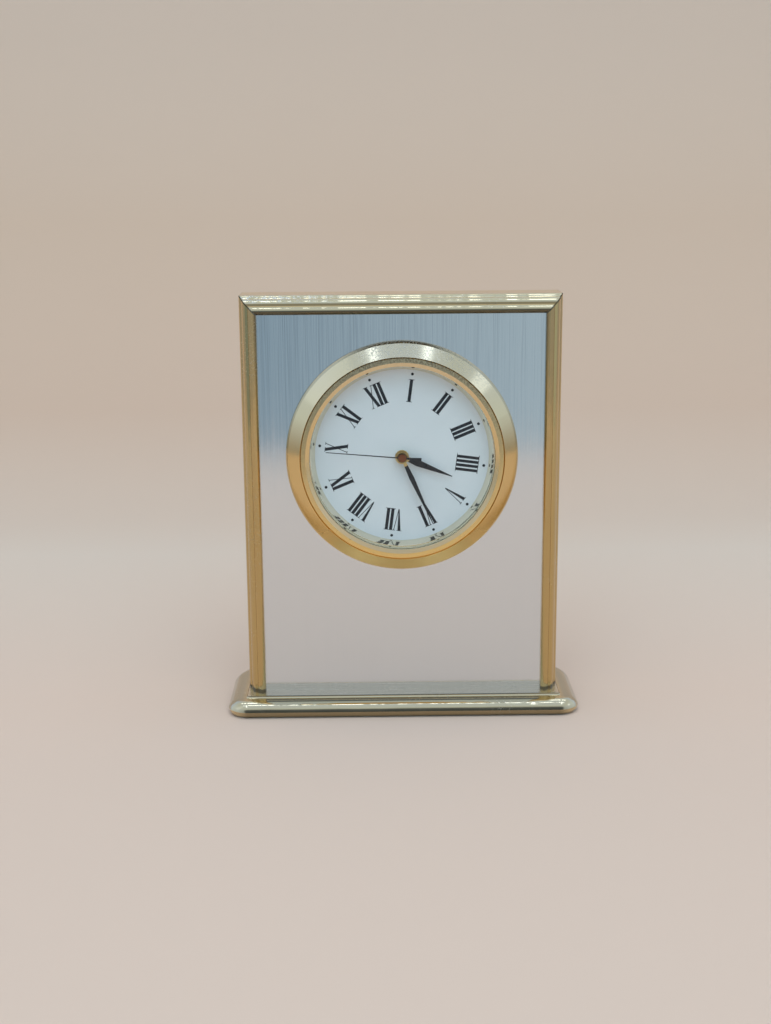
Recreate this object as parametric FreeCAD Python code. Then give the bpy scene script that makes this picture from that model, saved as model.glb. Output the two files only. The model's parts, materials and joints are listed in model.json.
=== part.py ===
"""Desk clock: a mitred brass frame with a brushed front panel on a moulded base, and a round
push-in quartz insert with its hands, gear train, stepping motor and button cell.

Millimetres. The origin is the middle of the felt's underside. +X is the viewer's right, -Y is
the front and +Z is up. Parts of the insert are drawn about the dial's own axis, with XII
straight up, and are then turned and lifted to their place in the case.
"""
import FreeCAD, Part
import math
import os
from FreeCAD import Vector

# ---------------------------------------------------------------- base
BASE_W = 108.4          # overall width
BASE_D = 40.0           # overall depth
BASE_TOP = 5.5          # height of the flat top that the frame stands on
BASE_EDGE_W = 5.7       # width of the moulded edge round the flat top
BASE_EDGE_H = 4.7       # height of the moulded edge's upper shoulder
BASE_NOSE_H = 2.1       # height at which the rounded nose reaches out furthest
BASE_FRONT_R = 6.5      # plan radius of the two front corners
BASE_BACK_R = 12.0      # plan radius of the two back corners
FELT_T = 1.0            # thickness of the felt pad
FELT_PROUD = 0.2        # how far the felt stands below the metal
FELT_INSET = 6.0        # rim of metal left round the felt
FELT_GAP = 0.15         # play between the felt and its recess

# ---------------------------------------------------------------- frame, panel, core, back
FRAME_W = 96.6          # overall width over the stiles
FRAME_H = 122.3         # height of the frame above the base's flat top
CASE_BACK_Y = 7.0       # back face of the frame
BACK_PLATE_T = 1.5
CORE_T = 13.1
PANEL_T = 1.0
MOULD_FACE_W = 5.4      # width of the moulding seen from the front
MOULD_WALL = 3.0        # thickness of the moulding's side wall
MOULD_LIP_H = 2.1       # how far the moulding stands in front of the panel
MOULD_FALL = 6.5        # how far its face falls back from the crest to the outer edge
MITRE_GAP = 0.09        # half of the joint line at each mitre
INLAY_GAP = 0.15        # play of panel, core and back plate inside the frame
KEY_T = 1.2             # corner key: thickness, width and leg length
KEY_W = 5.2
KEY_LEG = 15.0
KEY_PLAY = 0.1          # play of the key in its channel, all round
KEY_FROM_BACK = 3.6     # channel's near side, measured in from the back of the frame

# ---------------------------------------------------------------- fasteners of the case
BASE_SCREW_X = 30.0     # half spacing of the two screws up through the base
BASE_SCREW_R = 1.6
BASE_SCREW_HEAD_R = 3.4
BASE_SCREW_HEAD_H = 1.8
BASE_SCREW_L = 15.0
HEAD_PLAY = 0.3         # play of a head in its counterbore
SHANK_PLAY = 0.02       # play of a shank in its hole
BACK_SCREW_R = 1.1
BACK_SCREW_HEAD_R = 2.2
BACK_SCREW_CONE_H = 1.1
BACK_SCREW_L = 9.0
BACK_SCREW_INSET = 6.0  # from the edges of the back plate

# ---------------------------------------------------------------- insert: mouth and glazing
INSERT_DROP = 48.2      # insert's axis below the top of the frame
DIAL_TURN = -22.5       # how far the insert has been turned in its hole, clockwise positive
BORE_R = 30.25          # hole in the core that grips the insert
PANEL_HOLE_R = 30.6     # holes in the panel and in the back plate, clear of the insert
SEAT_GAP = 0.05         # between the bezel's underside and the panel
BEZEL_R = 35.0
BEZEL_H = 5.8           # crest of the bezel above the panel
BEZEL_EDGE_H = 0.9      # upright edge at the bezel's rim
BEZEL_RIM_H = 2.4       # where the rounded rim goes over into the sloping face
BEZEL_RIM_R = 34.35
CREST_R = 30.65         # where the sloping face ends
BEZEL_STEP_R = 29.0     # where the flat ring inside the crest ends
BEZEL_LIP_R = 27.85     # opening of the lip that holds the glass
GROOVE_W = 0.35         # fine groove just inside the crest
GROOVE_DEPTH = 0.35
BEZEL_BORE_R = 28.4
BEZEL_DISH = 0.5        # how far the lip falls towards the glass
SKIRT_T = 1.0           # bezel's skirt that goes into the hole
SKIRT_L = 4.0
LENS_R = 28.0
LENS_T = 0.8
LENS_DROP = 0.8         # glass below the bezel's crest
PART_GAP = 0.03         # between parts that are pushed together
DIAL_DEPTH = 4.8        # back of the glass to the dial
DIAL_T = 0.4
DIAL_VIEW_R = 26.3      # radius of dial left free by the reflector ring
RING_TOP_R = 27.75      # the reflector ring's upright wall under the glass
RING_CONE_H = 2.1       # height of the ring's conical foot above the dial
RING_LEDGE_W = 0.15     # fine ledge between cone and wall
DIAL_HOLE_R = 1.7

# ---------------------------------------------------------------- insert: cup and grip band
CUP_R = 29.35
CUP_MOUTH_W = 1.0       # thickness of the cup's mouth, inside the bezel's skirt
CUP_WALL = 1.85
CUP_BACK_T = 1.5
CUP_ROOM = 3.3          # bridge to the inside of the cup's back
LEDGE_W = 1.0           # ledge that carries the movement
LEDGE_T = 1.2
BAND_W = 6.0
BAND_Y = 1.0            # middle of the grip band
BAND_GROOVE_R = 28.9
BAND_RIBS = 3
BAND_RIB_H = 0.35
RUN = 0.05              # radial play of everything that turns or slides in a hole

# ---------------------------------------------------------------- gear train
MOTION_M = 0.35         # modules of the meshing pairs
CENTRE_M = 0.1806
THIRD_M = CENTRE_M * 72 / 68
SECONDS_M = 0.22
STEP_M = 0.17
ROTOR_PINION_N = 8
STEP_WHEEL_N = 48
STEP_PINION_N = 8
SECONDS_WHEEL_N = 40
SECONDS_PINION_N = 8
THIRD_WHEEL_N = 60
THIRD_PINION_N = 8
CENTRE_WHEEL_N = 64
CANNON_N = 10
WORKS_WHEEL_N = 30
WORKS_PINION_N = 8
HOUR_WHEEL_N = 32
ADDENDUM = 0.85         # tooth height outside and inside the pitch circle, in modules
DEDENDUM = 1.25
TIP_SHARE = 0.20        # width of a tooth at tip and root, as a share of the pitch
ROOT_SHARE = 0.58
WORKS_AT = 30.0         # directions of the arbors from the centre, anticlockwise from +X
THIRD_AT = 150.0
STEP_AT = 270.0
WHEEL_T = 0.7
PINION_EXTRA = 0.1      # a pinion stands out of its wheel's plane this much each side
LAYER_GAP = 0.3         # between two layers of wheels or plates
ARBOR_R = 0.4           # seconds arbor
THIN_ARBOR_R = 0.3      # third, step and rotor arbors
STEP_COLLAR_R = 0.55    # between the step wheel and its pinion
WORKS_ARBOR_R = 0.8
PIVOT_R = 0.22
PIVOT_L = 0.6
CANNON_R = 0.95         # tube that carries the minute hand
HOUR_PIPE_R = 1.4       # tube that carries the hour hand

# ---------------------------------------------------------------- movement plates
FRONT_PLATE_T = 1.4
MID_PLATE_T = 0.7
BRIDGE_T = 1.0
BRIDGE_GAP = 1.5        # last wheel to the bridge
MOVEMENT_HALF_W = 12.0
MOVEMENT_TOP = 12.5
MOVEMENT_BOTTOM = -14.0
MOVEMENT_CORNER_R = 2.0
PILLAR_X = 10.2
PILLAR_TOP_Z = 10.4
PILLAR_BOTTOM_Z = -12.1
PILLAR_R = 1.6
PILLAR_SHOULDER_R = 1.9
PLATE_SCREW_R = 0.7
PLATE_SCREW_HEAD_R = 1.3
PLATE_SCREW_HEAD_H = 0.6
PLATE_SCREW_L = 3.2

# ---------------------------------------------------------------- stepping motor
MAGNET_R = 0.8
MAGNET_T = 0.6
STATOR_HOLE_R = 1.1
STATOR_T = 0.6
STATOR_HALF_W = 8.2
STATOR_LEG_W = 2.7
STATOR_RISE = 2.4       # plate above and below the rotor's axis
STATOR_BOSS_X = 3.6     # bosses of the middle plate that carry the stator
COIL_DROP = 7.4         # coil axis below the rotor's axis
COIL_R = 2.2
COIL_HALF_L = 4.6
FLANGE_R = 2.5
FLANGE_T = 0.4
CORE_W = 2.0
CORE_H = 0.6

# ---------------------------------------------------------------- electrics
CELL_R = 5.8            # button cell, 11.6 x 5.4
CELL_T = 5.4
CELL_X = -19.3
CELL_FROM_BACK = 1.15   # cell's back face to the inside of the cup's back
CELL_CAP_R = 4.6
CELL_CAP_T = 0.4
WELL_GAP = 0.15
WELL_WALL = 0.8
WELL_FLOOR_T = 0.5
STRIP_T = 0.2           # contact springs
STRIP_W = 2.0
BOARD_T = 0.8
BOARD_LIFT = 0.6        # bosses on the bridge that carry the board
BOARD_HALF_W = 8.3
BOARD_BOTTOM = -5.0
BOARD_TOP = 12.0
CHIP_R = 2.2
CHIP_H = 0.9
CHIP_X = -3.5
CHIP_Z = 6.0
CRYSTAL_R = 0.9
CRYSTAL_L = 5.6

# ---------------------------------------------------------------- back of the insert
HATCH_R = 7.5
HATCH_T = 1.3
HATCH_LUG_R = 8.3
HATCH_LUG_T = 0.7
HATCH_LUG_ANGLE = 36.0
HATCH_OPEN_ANGLE = 45.0  # turn from locked to open
HATCH_PLAY = 0.1
COIN_SLOT_L = 9.0
COIN_SLOT_W = 1.6
COIN_SLOT_DEPTH = 0.8
KNOB_R = 4.5
KNOB_T = 2.4
KNOB_GAP = 0.3
KNOB_FLUTES = 24
KNOB_FLUTE_DEPTH = 0.25

# ---------------------------------------------------------------- hands, at 4:29:50
HOUR_HAND_AT = 134.5    # clockwise from XII
MINUTE_HAND_AT = 178.1
SECOND_HAND_AT = 297.35
HAND_T = 0.22
HOUR_HAND_UP = 2.0      # height of each hand over the dial
MINUTE_HAND_UP = 3.0
SECOND_HAND_UP = 4.0
HOUR_HAND_L = 16.3
HOUR_HAND_HALF_W = 1.05
HOUR_HAND_WIDEST = 5.0  # distance from the centre to the widest place
HOUR_HAND_WAIST = 0.45  # half width at the centre and at the tip
HOUR_HAND_TIP = 0.12
HOUR_HUB_R = 2.1
MINUTE_HAND_L = 22.7
MINUTE_HAND_HALF_W = 0.75
MINUTE_HAND_WIDEST = 7.0
MINUTE_HAND_WAIST = 0.4
MINUTE_HAND_TIP = 0.08
MINUTE_HUB_R = 1.7
SECOND_HAND_L = 23.0
SECOND_HAND_HALF_W = 0.175
SECOND_TAIL_L = 5.8
SECOND_TAIL_HALF_W = 0.5
SECOND_CAP_R = 1.15
SECOND_CAP_RISE = 0.25  # how far the cap stands in front of the needle
SECOND_CAP_BACK = 0.1
HUB_T = 0.6

# ================================================================ places worked out from the sizes
BACK_PLATE_Y = CASE_BACK_Y - BACK_PLATE_T
CORE_Y = BACK_PLATE_Y - CORE_T
PANEL_Y = CORE_Y - PANEL_T                  # front face of the panel
FRAME_HALF_W = FRAME_W / 2
FRAME_TOP = BASE_TOP + FRAME_H
INLAY_HALF_W = FRAME_HALF_W - MOULD_WALL - INLAY_GAP
INLAY_TOP = FRAME_TOP - MOULD_WALL - INLAY_GAP
INSERT_Z = FRAME_TOP - INSERT_DROP

CREST_Y = PANEL_Y - BEZEL_H
LENS_Y = CREST_Y + LENS_DROP
LENS_BACK_Y = LENS_Y + LENS_T
DIAL_Y = LENS_BACK_Y + DIAL_DEPTH
DIAL_BACK_Y = DIAL_Y + DIAL_T
SKIRT_Y = PANEL_Y + SKIRT_L
SKIRT_R = BEZEL_BORE_R + SKIRT_T

FRONT_PLATE_BACK = DIAL_BACK_Y + FRONT_PLATE_T
HOUR_Y = FRONT_PLATE_BACK + LAYER_GAP
WORKS_Y = HOUR_Y + WHEEL_T + LAYER_GAP + PINION_EXTRA
CENTRE_Y = WORKS_Y + WHEEL_T + LAYER_GAP + PINION_EXTRA
MID_PLATE_Y = CENTRE_Y + WHEEL_T + LAYER_GAP + PINION_EXTRA
MID_PLATE_BACK = MID_PLATE_Y + MID_PLATE_T
THIRD_Y = MID_PLATE_BACK + LAYER_GAP + PINION_EXTRA
SECONDS_Y = THIRD_Y + WHEEL_T + LAYER_GAP + PINION_EXTRA
STEP_Y = SECONDS_Y + WHEEL_T + LAYER_GAP + PINION_EXTRA
BRIDGE_Y = STEP_Y + WHEEL_T + BRIDGE_GAP
BRIDGE_BACK = BRIDGE_Y + BRIDGE_T
CUP_INNER_Y = BRIDGE_BACK + CUP_ROOM
CUP_BACK_Y = CUP_INNER_Y + CUP_BACK_T
CUP_MOUTH_R = BEZEL_BORE_R - PART_GAP
CUP_INNER_R = CUP_R - CUP_WALL
FRONT_PLATE_R = CUP_MOUTH_R - CUP_MOUTH_W - PART_GAP


def polar(distance, degrees):
    """A point (x, z) at a distance and direction, anticlockwise from +X seen from the front."""
    a = math.radians(degrees)
    return distance * math.cos(a), distance * math.sin(a)


MOTION_DISTANCE = MOTION_M * (CANNON_N + WORKS_WHEEL_N) / 2
THIRD_DISTANCE = CENTRE_M * (CENTRE_WHEEL_N + THIRD_PINION_N) / 2
STEP_DISTANCE = SECONDS_M * (SECONDS_WHEEL_N + STEP_PINION_N) / 2
ROTOR_DISTANCE = STEP_M * (STEP_WHEEL_N + ROTOR_PINION_N) / 2
WORKS_X, WORKS_Z = polar(MOTION_DISTANCE, WORKS_AT)
THIRD_X, THIRD_Z = polar(THIRD_DISTANCE, THIRD_AT)
STEP_X, STEP_Z = polar(STEP_DISTANCE, STEP_AT)
ROTOR_X, ROTOR_Z = polar(STEP_DISTANCE + ROTOR_DISTANCE, STEP_AT)
STATOR_Y = SECONDS_Y                        # the stator lies in the plane of the seconds wheel
STATOR_BACK = STATOR_Y + STATOR_T
COIL_Z = ROTOR_Z - COIL_DROP


# ================================================================ shapes used again and again
def block(x0, x1, y0, y1, z0, z1):
    """A box between two corners."""
    return Part.makeBox(x1 - x0, y1 - y0, z1 - z0, Vector(x0, y0, z0))


def rod(radius, y0, y1, x=0.0, z=0.0):
    """A round bar along Y."""
    return Part.makeCylinder(radius, y1 - y0, Vector(x, y0, z), Vector(0, 1, 0))


def tube(outer, inner, y0, y1, x=0.0, z=0.0):
    """A round tube along Y."""
    return rod(outer, y0, y1, x, z).cut(rod(inner, y0 - 1, y1 + 1, x, z))


def turned(points):
    """A closed (radius, y) outline turned round the insert's axis."""
    corners = [Vector(r, y, 0) for r, y in points]
    face = Part.Face(Part.makePolygon(corners + corners[:1]))
    return face.revolve(Vector(0, 0, 0), Vector(0, 1, 0), 360)


def flat_shape(points, y0, y1):
    """A closed (x, z) outline made into a plate from y0 to y1."""
    corners = [Vector(x, y0, z) for x, z in points]
    face = Part.Face(Part.makePolygon(corners + corners[:1]))
    return face.extrude(Vector(0, y1 - y0, 0))


def joined(first, *others):
    """One solid from several that meet."""
    return first.fuse(list(others)).removeSplitter()


def rounded_plate(half_w, bottom, top, radius, y0, y1):
    """A plate with rounded corners, upright in X and Z."""
    plate = block(-half_w, half_w, y0, y1, bottom, top)
    upright = [e for e in plate.Edges if abs(e.tangentAt(e.FirstParameter).y) > 0.99]
    return plate.makeFillet(radius, upright)


def rounded_slab(half_w, half_d, front_r, back_r, z0, z1):
    """A slab lying flat, with one radius at its front corners and one at its back corners."""
    slab = block(-half_w, half_w, -half_d, half_d, z0, z1)
    for radius, side in ((front_r, -1), (back_r, 1)):
        upright = [e for e in slab.Edges if abs(e.tangentAt(e.FirstParameter).z) > 0.99
                   and side * e.CenterOfMass.y > half_d * 0.9 and len(e.Vertexes) == 2
                   and abs(e.CenterOfMass.x) > half_w * 0.999]
        slab = slab.makeFillet(radius, upright)
    return slab


def turn(shape, clockwise, x=0.0, z=0.0):
    """Turns a shape about an axis along Y, clockwise as seen from the front."""
    shape.rotate(Vector(x, 0, z), Vector(0, 1, 0), clockwise)
    return shape


def in_case(shape):
    """Moves a shape drawn about the dial's axis to its place in the case."""
    turn(shape, DIAL_TURN)
    shape.translate(Vector(0, 0, INSERT_Z))
    return shape


# ================================================================ gears
def gear(teeth, module, y0, y1, phase=0.0, x=0.0, z=0.0):
    """A toothed disc on the axis (x, z), with the middle of a tooth at the angle phase."""
    step = 2 * math.pi / teeth
    root_r = module * (teeth / 2 - DEDENDUM)
    tip_r = module * (teeth / 2 + ADDENDUM)
    flank = ((root_r, -ROOT_SHARE), (tip_r, -TIP_SHARE), (tip_r, TIP_SHARE), (root_r, ROOT_SHARE))
    points = []
    for i in range(teeth):
        middle = math.radians(phase) + i * step
        for radius, share in flank:
            a = middle + share * step / 2
            points.append((x + radius * math.cos(a), z + radius * math.sin(a)))
    return flat_shape(points, y0, y1)


def pinion(teeth, module, wheel_y, phase=0.0, x=0.0, z=0.0):
    """A small gear in the plane of the wheel that it meshes with."""
    return gear(teeth, module, wheel_y - PINION_EXTRA, wheel_y + WHEEL_T + PINION_EXTRA, phase, x, z)


def meshed_phase(teeth, phase, direction, next_teeth):
    """The phase of a gear that meshes with another one lying in a direction from the first."""
    place = (direction - phase) * teeth / 360
    return direction + 180 - 360 * (0.5 - place) / next_teeth


def spokes_cut(wheel, rim_r, hub_r, y, x=0.0, z=0.0, count=4, width=1.0):
    """Cuts windows in a wheel, leaving its rim, hub and spokes."""
    window = tube(rim_r, hub_r, y - 1, y + WHEEL_T + 1, x, z)
    for i in range(count):
        bar = block(x, x + rim_r + 1, y - 2, y + WHEEL_T + 2, z - width / 2, z + width / 2)
        window = window.cut(turn(bar, 360 * i / count, x, z))
    return wheel.cut(window)


# phases of the gears, worked along the train from the centre wheel
THIRD_PINION_PHASE = meshed_phase(CENTRE_WHEEL_N, 0.0, THIRD_AT, THIRD_PINION_N)
SECONDS_PINION_PHASE = meshed_phase(THIRD_WHEEL_N, 0.0, THIRD_AT + 180, SECONDS_PINION_N)
STEP_PINION_PHASE = meshed_phase(SECONDS_WHEEL_N, 0.0, STEP_AT, STEP_PINION_N)
ROTOR_PINION_PHASE = meshed_phase(STEP_WHEEL_N, 0.0, STEP_AT, ROTOR_PINION_N)
WORKS_WHEEL_PHASE = meshed_phase(CANNON_N, 0.0, WORKS_AT, WORKS_WHEEL_N)
HOUR_WHEEL_PHASE = meshed_phase(WORKS_PINION_N, 0.0, WORKS_AT + 180, HOUR_WHEEL_N)


# ================================================================ base
def base_edge_face():
    """Section of the moulded edge in (outward, height), laid in the XZ plane from x = 0 outward."""
    inner = -0.5
    top = BASE_TOP
    low = FELT_PROUD
    points = {
        "inner_top": (inner, top),
        "top_end": (-0.35, top),
        "top_round": (-0.1, top - 0.1),
        "top_side": (0.0, top - 0.35),
        "step_foot": (0.3, BASE_EDGE_H + 0.12),
        "shoulder": (1.4, BASE_EDGE_H),
        "nose_upper": (BASE_EDGE_W - 1.4, BASE_NOSE_H + 0.7 * (BASE_EDGE_H - BASE_NOSE_H)),
        "nose": (BASE_EDGE_W, BASE_NOSE_H),
        "nose_lower": (BASE_EDGE_W - 0.25, low + 0.45 * (BASE_NOSE_H - low)),
        "foot": (BASE_EDGE_W - 1.1, low),
        "inner_low": (inner, low),
    }
    p = {name: Vector(s, 0, z) for name, (s, z) in points.items()}
    edges = [
        Part.LineSegment(p["inner_top"], p["top_end"]),
        Part.Arc(p["top_end"], p["top_round"], p["top_side"]),
        Part.LineSegment(p["top_side"], p["step_foot"]),
        Part.LineSegment(p["step_foot"], p["shoulder"]),
        Part.Arc(p["shoulder"], p["nose_upper"], p["nose"]),
        Part.Arc(p["nose"], p["nose_lower"], p["foot"]),
        Part.LineSegment(p["foot"], p["inner_low"]),
        Part.LineSegment(p["inner_low"], p["inner_top"]),
    ]
    return Part.Face(Part.Wire([e.toShape() for e in edges]))


def edge_run(start, end, outward_degrees):
    """The moulded edge along one straight side, from start to end, both (x, y) on the top's edge."""
    face = base_edge_face()
    face.rotate(Vector(0, 0, 0), Vector(0, 0, 1), outward_degrees)
    face.translate(Vector(start[0], start[1], 0))
    return face.extrude(Vector(end[0] - start[0], end[1] - start[1], 0))


def edge_corner(centre, radius, from_degrees):
    """The moulded edge round a quarter corner, whose flat top has this radius."""
    face = base_edge_face()
    face.translate(Vector(radius, 0, 0))
    face.rotate(Vector(0, 0, 0), Vector(0, 0, 1), from_degrees)
    face.translate(Vector(centre[0], centre[1], 0))
    return face.revolve(Vector(centre[0], centre[1], 0), Vector(0, 0, 1), 90)


def base_body():
    half_w = BASE_W / 2 - BASE_EDGE_W
    half_d = BASE_D / 2 - BASE_EDGE_W
    front_r = BASE_FRONT_R - BASE_EDGE_W
    back_r = BASE_BACK_R - BASE_EDGE_W
    core = rounded_slab(half_w, half_d, front_r, back_r, FELT_PROUD, BASE_EDGE_H)
    cap = rounded_slab(half_w - 0.4, half_d - 0.4, front_r - 0.4, back_r - 0.4, BASE_EDGE_H, BASE_TOP)
    left, right, front, back = -half_w, half_w, -half_d, half_d
    runs = [
        edge_run((right - front_r, front), (left + front_r, front), 270),
        edge_run((left, front + front_r), (left, back - back_r), 180),
        edge_run((left + back_r, back), (right - back_r, back), 90),
        edge_run((right, back - back_r), (right, front + front_r), 0),
    ]
    corners = [
        edge_corner((left + front_r, front + front_r), front_r, 180),
        edge_corner((right - front_r, front + front_r), front_r, 270),
        edge_corner((right - back_r, back - back_r), back_r, 0),
        edge_corner((left + back_r, back - back_r), back_r, 90),
    ]
    return joined(core, cap, *runs, *corners)


def felt_shape(play, z0, z1):
    inset = FELT_INSET + play
    return rounded_slab(BASE_W / 2 - inset, BASE_D / 2 - inset, 2.0, BASE_BACK_R - FELT_INSET, z0, z1)


def base_screw(x, y, z):
    """A pan-head screw pointing up, its head just under the height z, with a cross recess."""
    head_r, head_h, shank_r, length = BASE_SCREW_HEAD_R, BASE_SCREW_HEAD_H, BASE_SCREW_R, BASE_SCREW_L
    head = Part.makeCylinder(head_r, head_h, Vector(x, y, z - head_h), Vector(0, 0, 1))
    low_rim = [e for e in head.Edges if abs(e.CenterOfMass.z - (z - head_h)) < 1e-6 and len(e.Vertexes) == 1]
    head = head.makeFillet(head_h * 0.4, low_rim)
    shank = Part.makeCylinder(shank_r, length, Vector(x, y, z), Vector(0, 0, 1))
    point = Part.makeCone(shank_r, shank_r * 0.2, shank_r * 1.6, Vector(x, y, z + length), Vector(0, 0, 1))
    screw = joined(head, shank, point)
    arm, half = head_r * 0.55, head_r * 0.12
    deep = head_h * 0.55
    for dx, dy in ((arm, half), (half, arm)):
        screw = screw.cut(block(x - dx, x + dx, y - dy, y + dy, z - head_h - 1, z - head_h + deep))
    return screw


def base_parts():
    recess_top = FELT_T
    seat = recess_top + BASE_SCREW_HEAD_H + HEAD_PLAY
    screw_y = (CORE_Y + BACK_PLATE_Y) / 2
    plinth = base_body().cut(felt_shape(0.0, -1.0, recess_top))
    screws = []
    for x in (-BASE_SCREW_X, BASE_SCREW_X):
        up = Vector(0, 0, 1)
        plinth = plinth.cut(Part.makeCylinder(BASE_SCREW_HEAD_R + HEAD_PLAY, seat, Vector(x, screw_y, 0), up))
        plinth = plinth.cut(
            Part.makeCylinder(BASE_SCREW_R + SHANK_PLAY, BASE_TOP + 1, Vector(x, screw_y, 0), up))
        screws.append(base_screw(x, screw_y, seat))
    return {
        "base_plinth": plinth,
        "base_felt": felt_shape(FELT_GAP, 0.0, recess_top),
        "base_screws": Part.makeCompound(screws),
    }


# ================================================================ frame
def mould_section():
    """Half of the frame moulding as named points: (in from the outer edge, depth y)."""
    crest = PANEL_Y - MOULD_LIP_H
    w = MOULD_FACE_W
    return {
        "outer_back": (0.0, CASE_BACK_Y),
        "outer_front": (0.0, crest + MOULD_FALL),
        "reed_1": (0.17 * w, crest + 0.71 * MOULD_FALL),
        "reed_2": (0.40 * w, crest + 0.205 * MOULD_FALL),
        "reed_3": (0.55 * w, crest + 0.18 * MOULD_FALL),
        "crest": (0.80 * w, crest),
        "lip": (w, crest + 0.155 * MOULD_FALL),
        "rebate_front": (w, PANEL_Y - INLAY_GAP / 5),
        "rebate": (MOULD_WALL, PANEL_Y - INLAY_GAP / 5),
        "inner_back": (MOULD_WALL, CASE_BACK_Y),
    }


def mould_face(place):
    """The moulding's section as a face; place turns (in, y) into a point in space."""
    s = mould_section()
    bulge = {"outer_front": 0.22, "reed_1": 0.36, "reed_3": 0.15, "crest": 0.14}
    names = list(s)
    edges = []
    for name, following in zip(names, names[1:] + names[:1]):
        a, b = s[name], s[following]
        if name in bulge:
            dx, dy = b[0] - a[0], b[1] - a[1]
            length = math.hypot(dx, dy)
            out = bulge[name]
            middle = ((a[0] + b[0]) / 2 + dy / length * out, (a[1] + b[1]) / 2 - dx / length * out)
            edges.append(Part.Arc(place(*a), place(*middle), place(*b)).toShape())
        else:
            edges.append(Part.LineSegment(place(*a), place(*b)).toShape())
    return Part.Face(Part.Wire(edges))


def key_channel(place, direction, play):
    """The slot along a moulding in which a corner key's leg lies."""
    near = CASE_BACK_Y - KEY_FROM_BACK
    middle = MOULD_WALL / 2
    corners = [
        place(u, y)
        for u, y in (
            (middle - KEY_T / 2 - play, near + play),
            (middle + KEY_T / 2 + play, near + play),
            (middle + KEY_T / 2 + play, near - KEY_W - play),
            (middle - KEY_T / 2 - play, near - KEY_W - play),
        )
    ]
    return Part.Face(Part.makePolygon(corners + corners[:1])).extrude(direction)


def beyond_mitre(side, keep_stile):
    """The space on the far side of one corner's 45 degree cut, with the joint's gap taken off."""
    big = FRAME_H + FRAME_W
    corner_x, corner_z = side * FRAME_HALF_W, FRAME_TOP
    shift = -MITRE_GAP * math.sqrt(2) if keep_stile else MITRE_GAP * math.sqrt(2)
    a = (corner_x + side * big, corner_z + big + shift)
    b = (corner_x - side * big, corner_z - big + shift)
    if keep_stile:
        third = (corner_x - side * big, corner_z + big + shift)
    else:
        third = (corner_x + side * big, corner_z - big + shift)
    return flat_shape([a, b, third], CASE_BACK_Y - 60, CASE_BACK_Y + 60)


def stile(side):
    """An upright of the frame; side is -1 on the left and 1 on the right."""
    def place(u, y):
        return Vector(side * (FRAME_HALF_W - u), y, BASE_TOP)
    up = Vector(0, 0, FRAME_H + 1)
    solid = mould_face(place).extrude(up).cut(key_channel(place, up, KEY_PLAY))
    return solid.cut(beyond_mitre(side, True))


def top_rail():
    def place(u, y):
        return Vector(-FRAME_HALF_W, y, FRAME_TOP - u)
    along = Vector(FRAME_W, 0, 0)
    solid = mould_face(place).extrude(along).cut(key_channel(place, along, KEY_PLAY))
    for side in (-1, 1):
        solid = solid.cut(beyond_mitre(side, False))
    return solid


def corner_key(side):
    """An L of strip steel that joins a stile and the rail inside their channels."""
    near = CASE_BACK_Y - KEY_FROM_BACK
    outer, inner = MOULD_WALL / 2 - KEY_T / 2, MOULD_WALL / 2 + KEY_T / 2
    def corner(u, w):
        return side * (FRAME_HALF_W - u), FRAME_TOP - w
    return flat_shape(
        [corner(outer, outer), corner(KEY_LEG, outer), corner(KEY_LEG, inner),
         corner(inner, inner), corner(inner, KEY_LEG), corner(outer, KEY_LEG)],
        near - KEY_W, near)


def back_screw(x, z):
    """A countersunk screw through the back plate into the core, with a cross recess."""
    back = CASE_BACK_Y
    cone = Part.makeCone(BACK_SCREW_HEAD_R, BACK_SCREW_R, BACK_SCREW_CONE_H,
                         Vector(x, back, z), Vector(0, -1, 0))
    tip_y = back - BACK_SCREW_L
    shank = rod(BACK_SCREW_R, tip_y, back - BACK_SCREW_CONE_H, x, z)
    screw = joined(cone, shank)
    arm, half = BACK_SCREW_HEAD_R * 0.6, BACK_SCREW_HEAD_R * 0.13
    for dx, dz in ((arm, half), (half, arm)):
        screw = screw.cut(block(x - dx, x + dx, back - 0.7, back + 1, z - dz, z + dz))
    return screw


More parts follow.
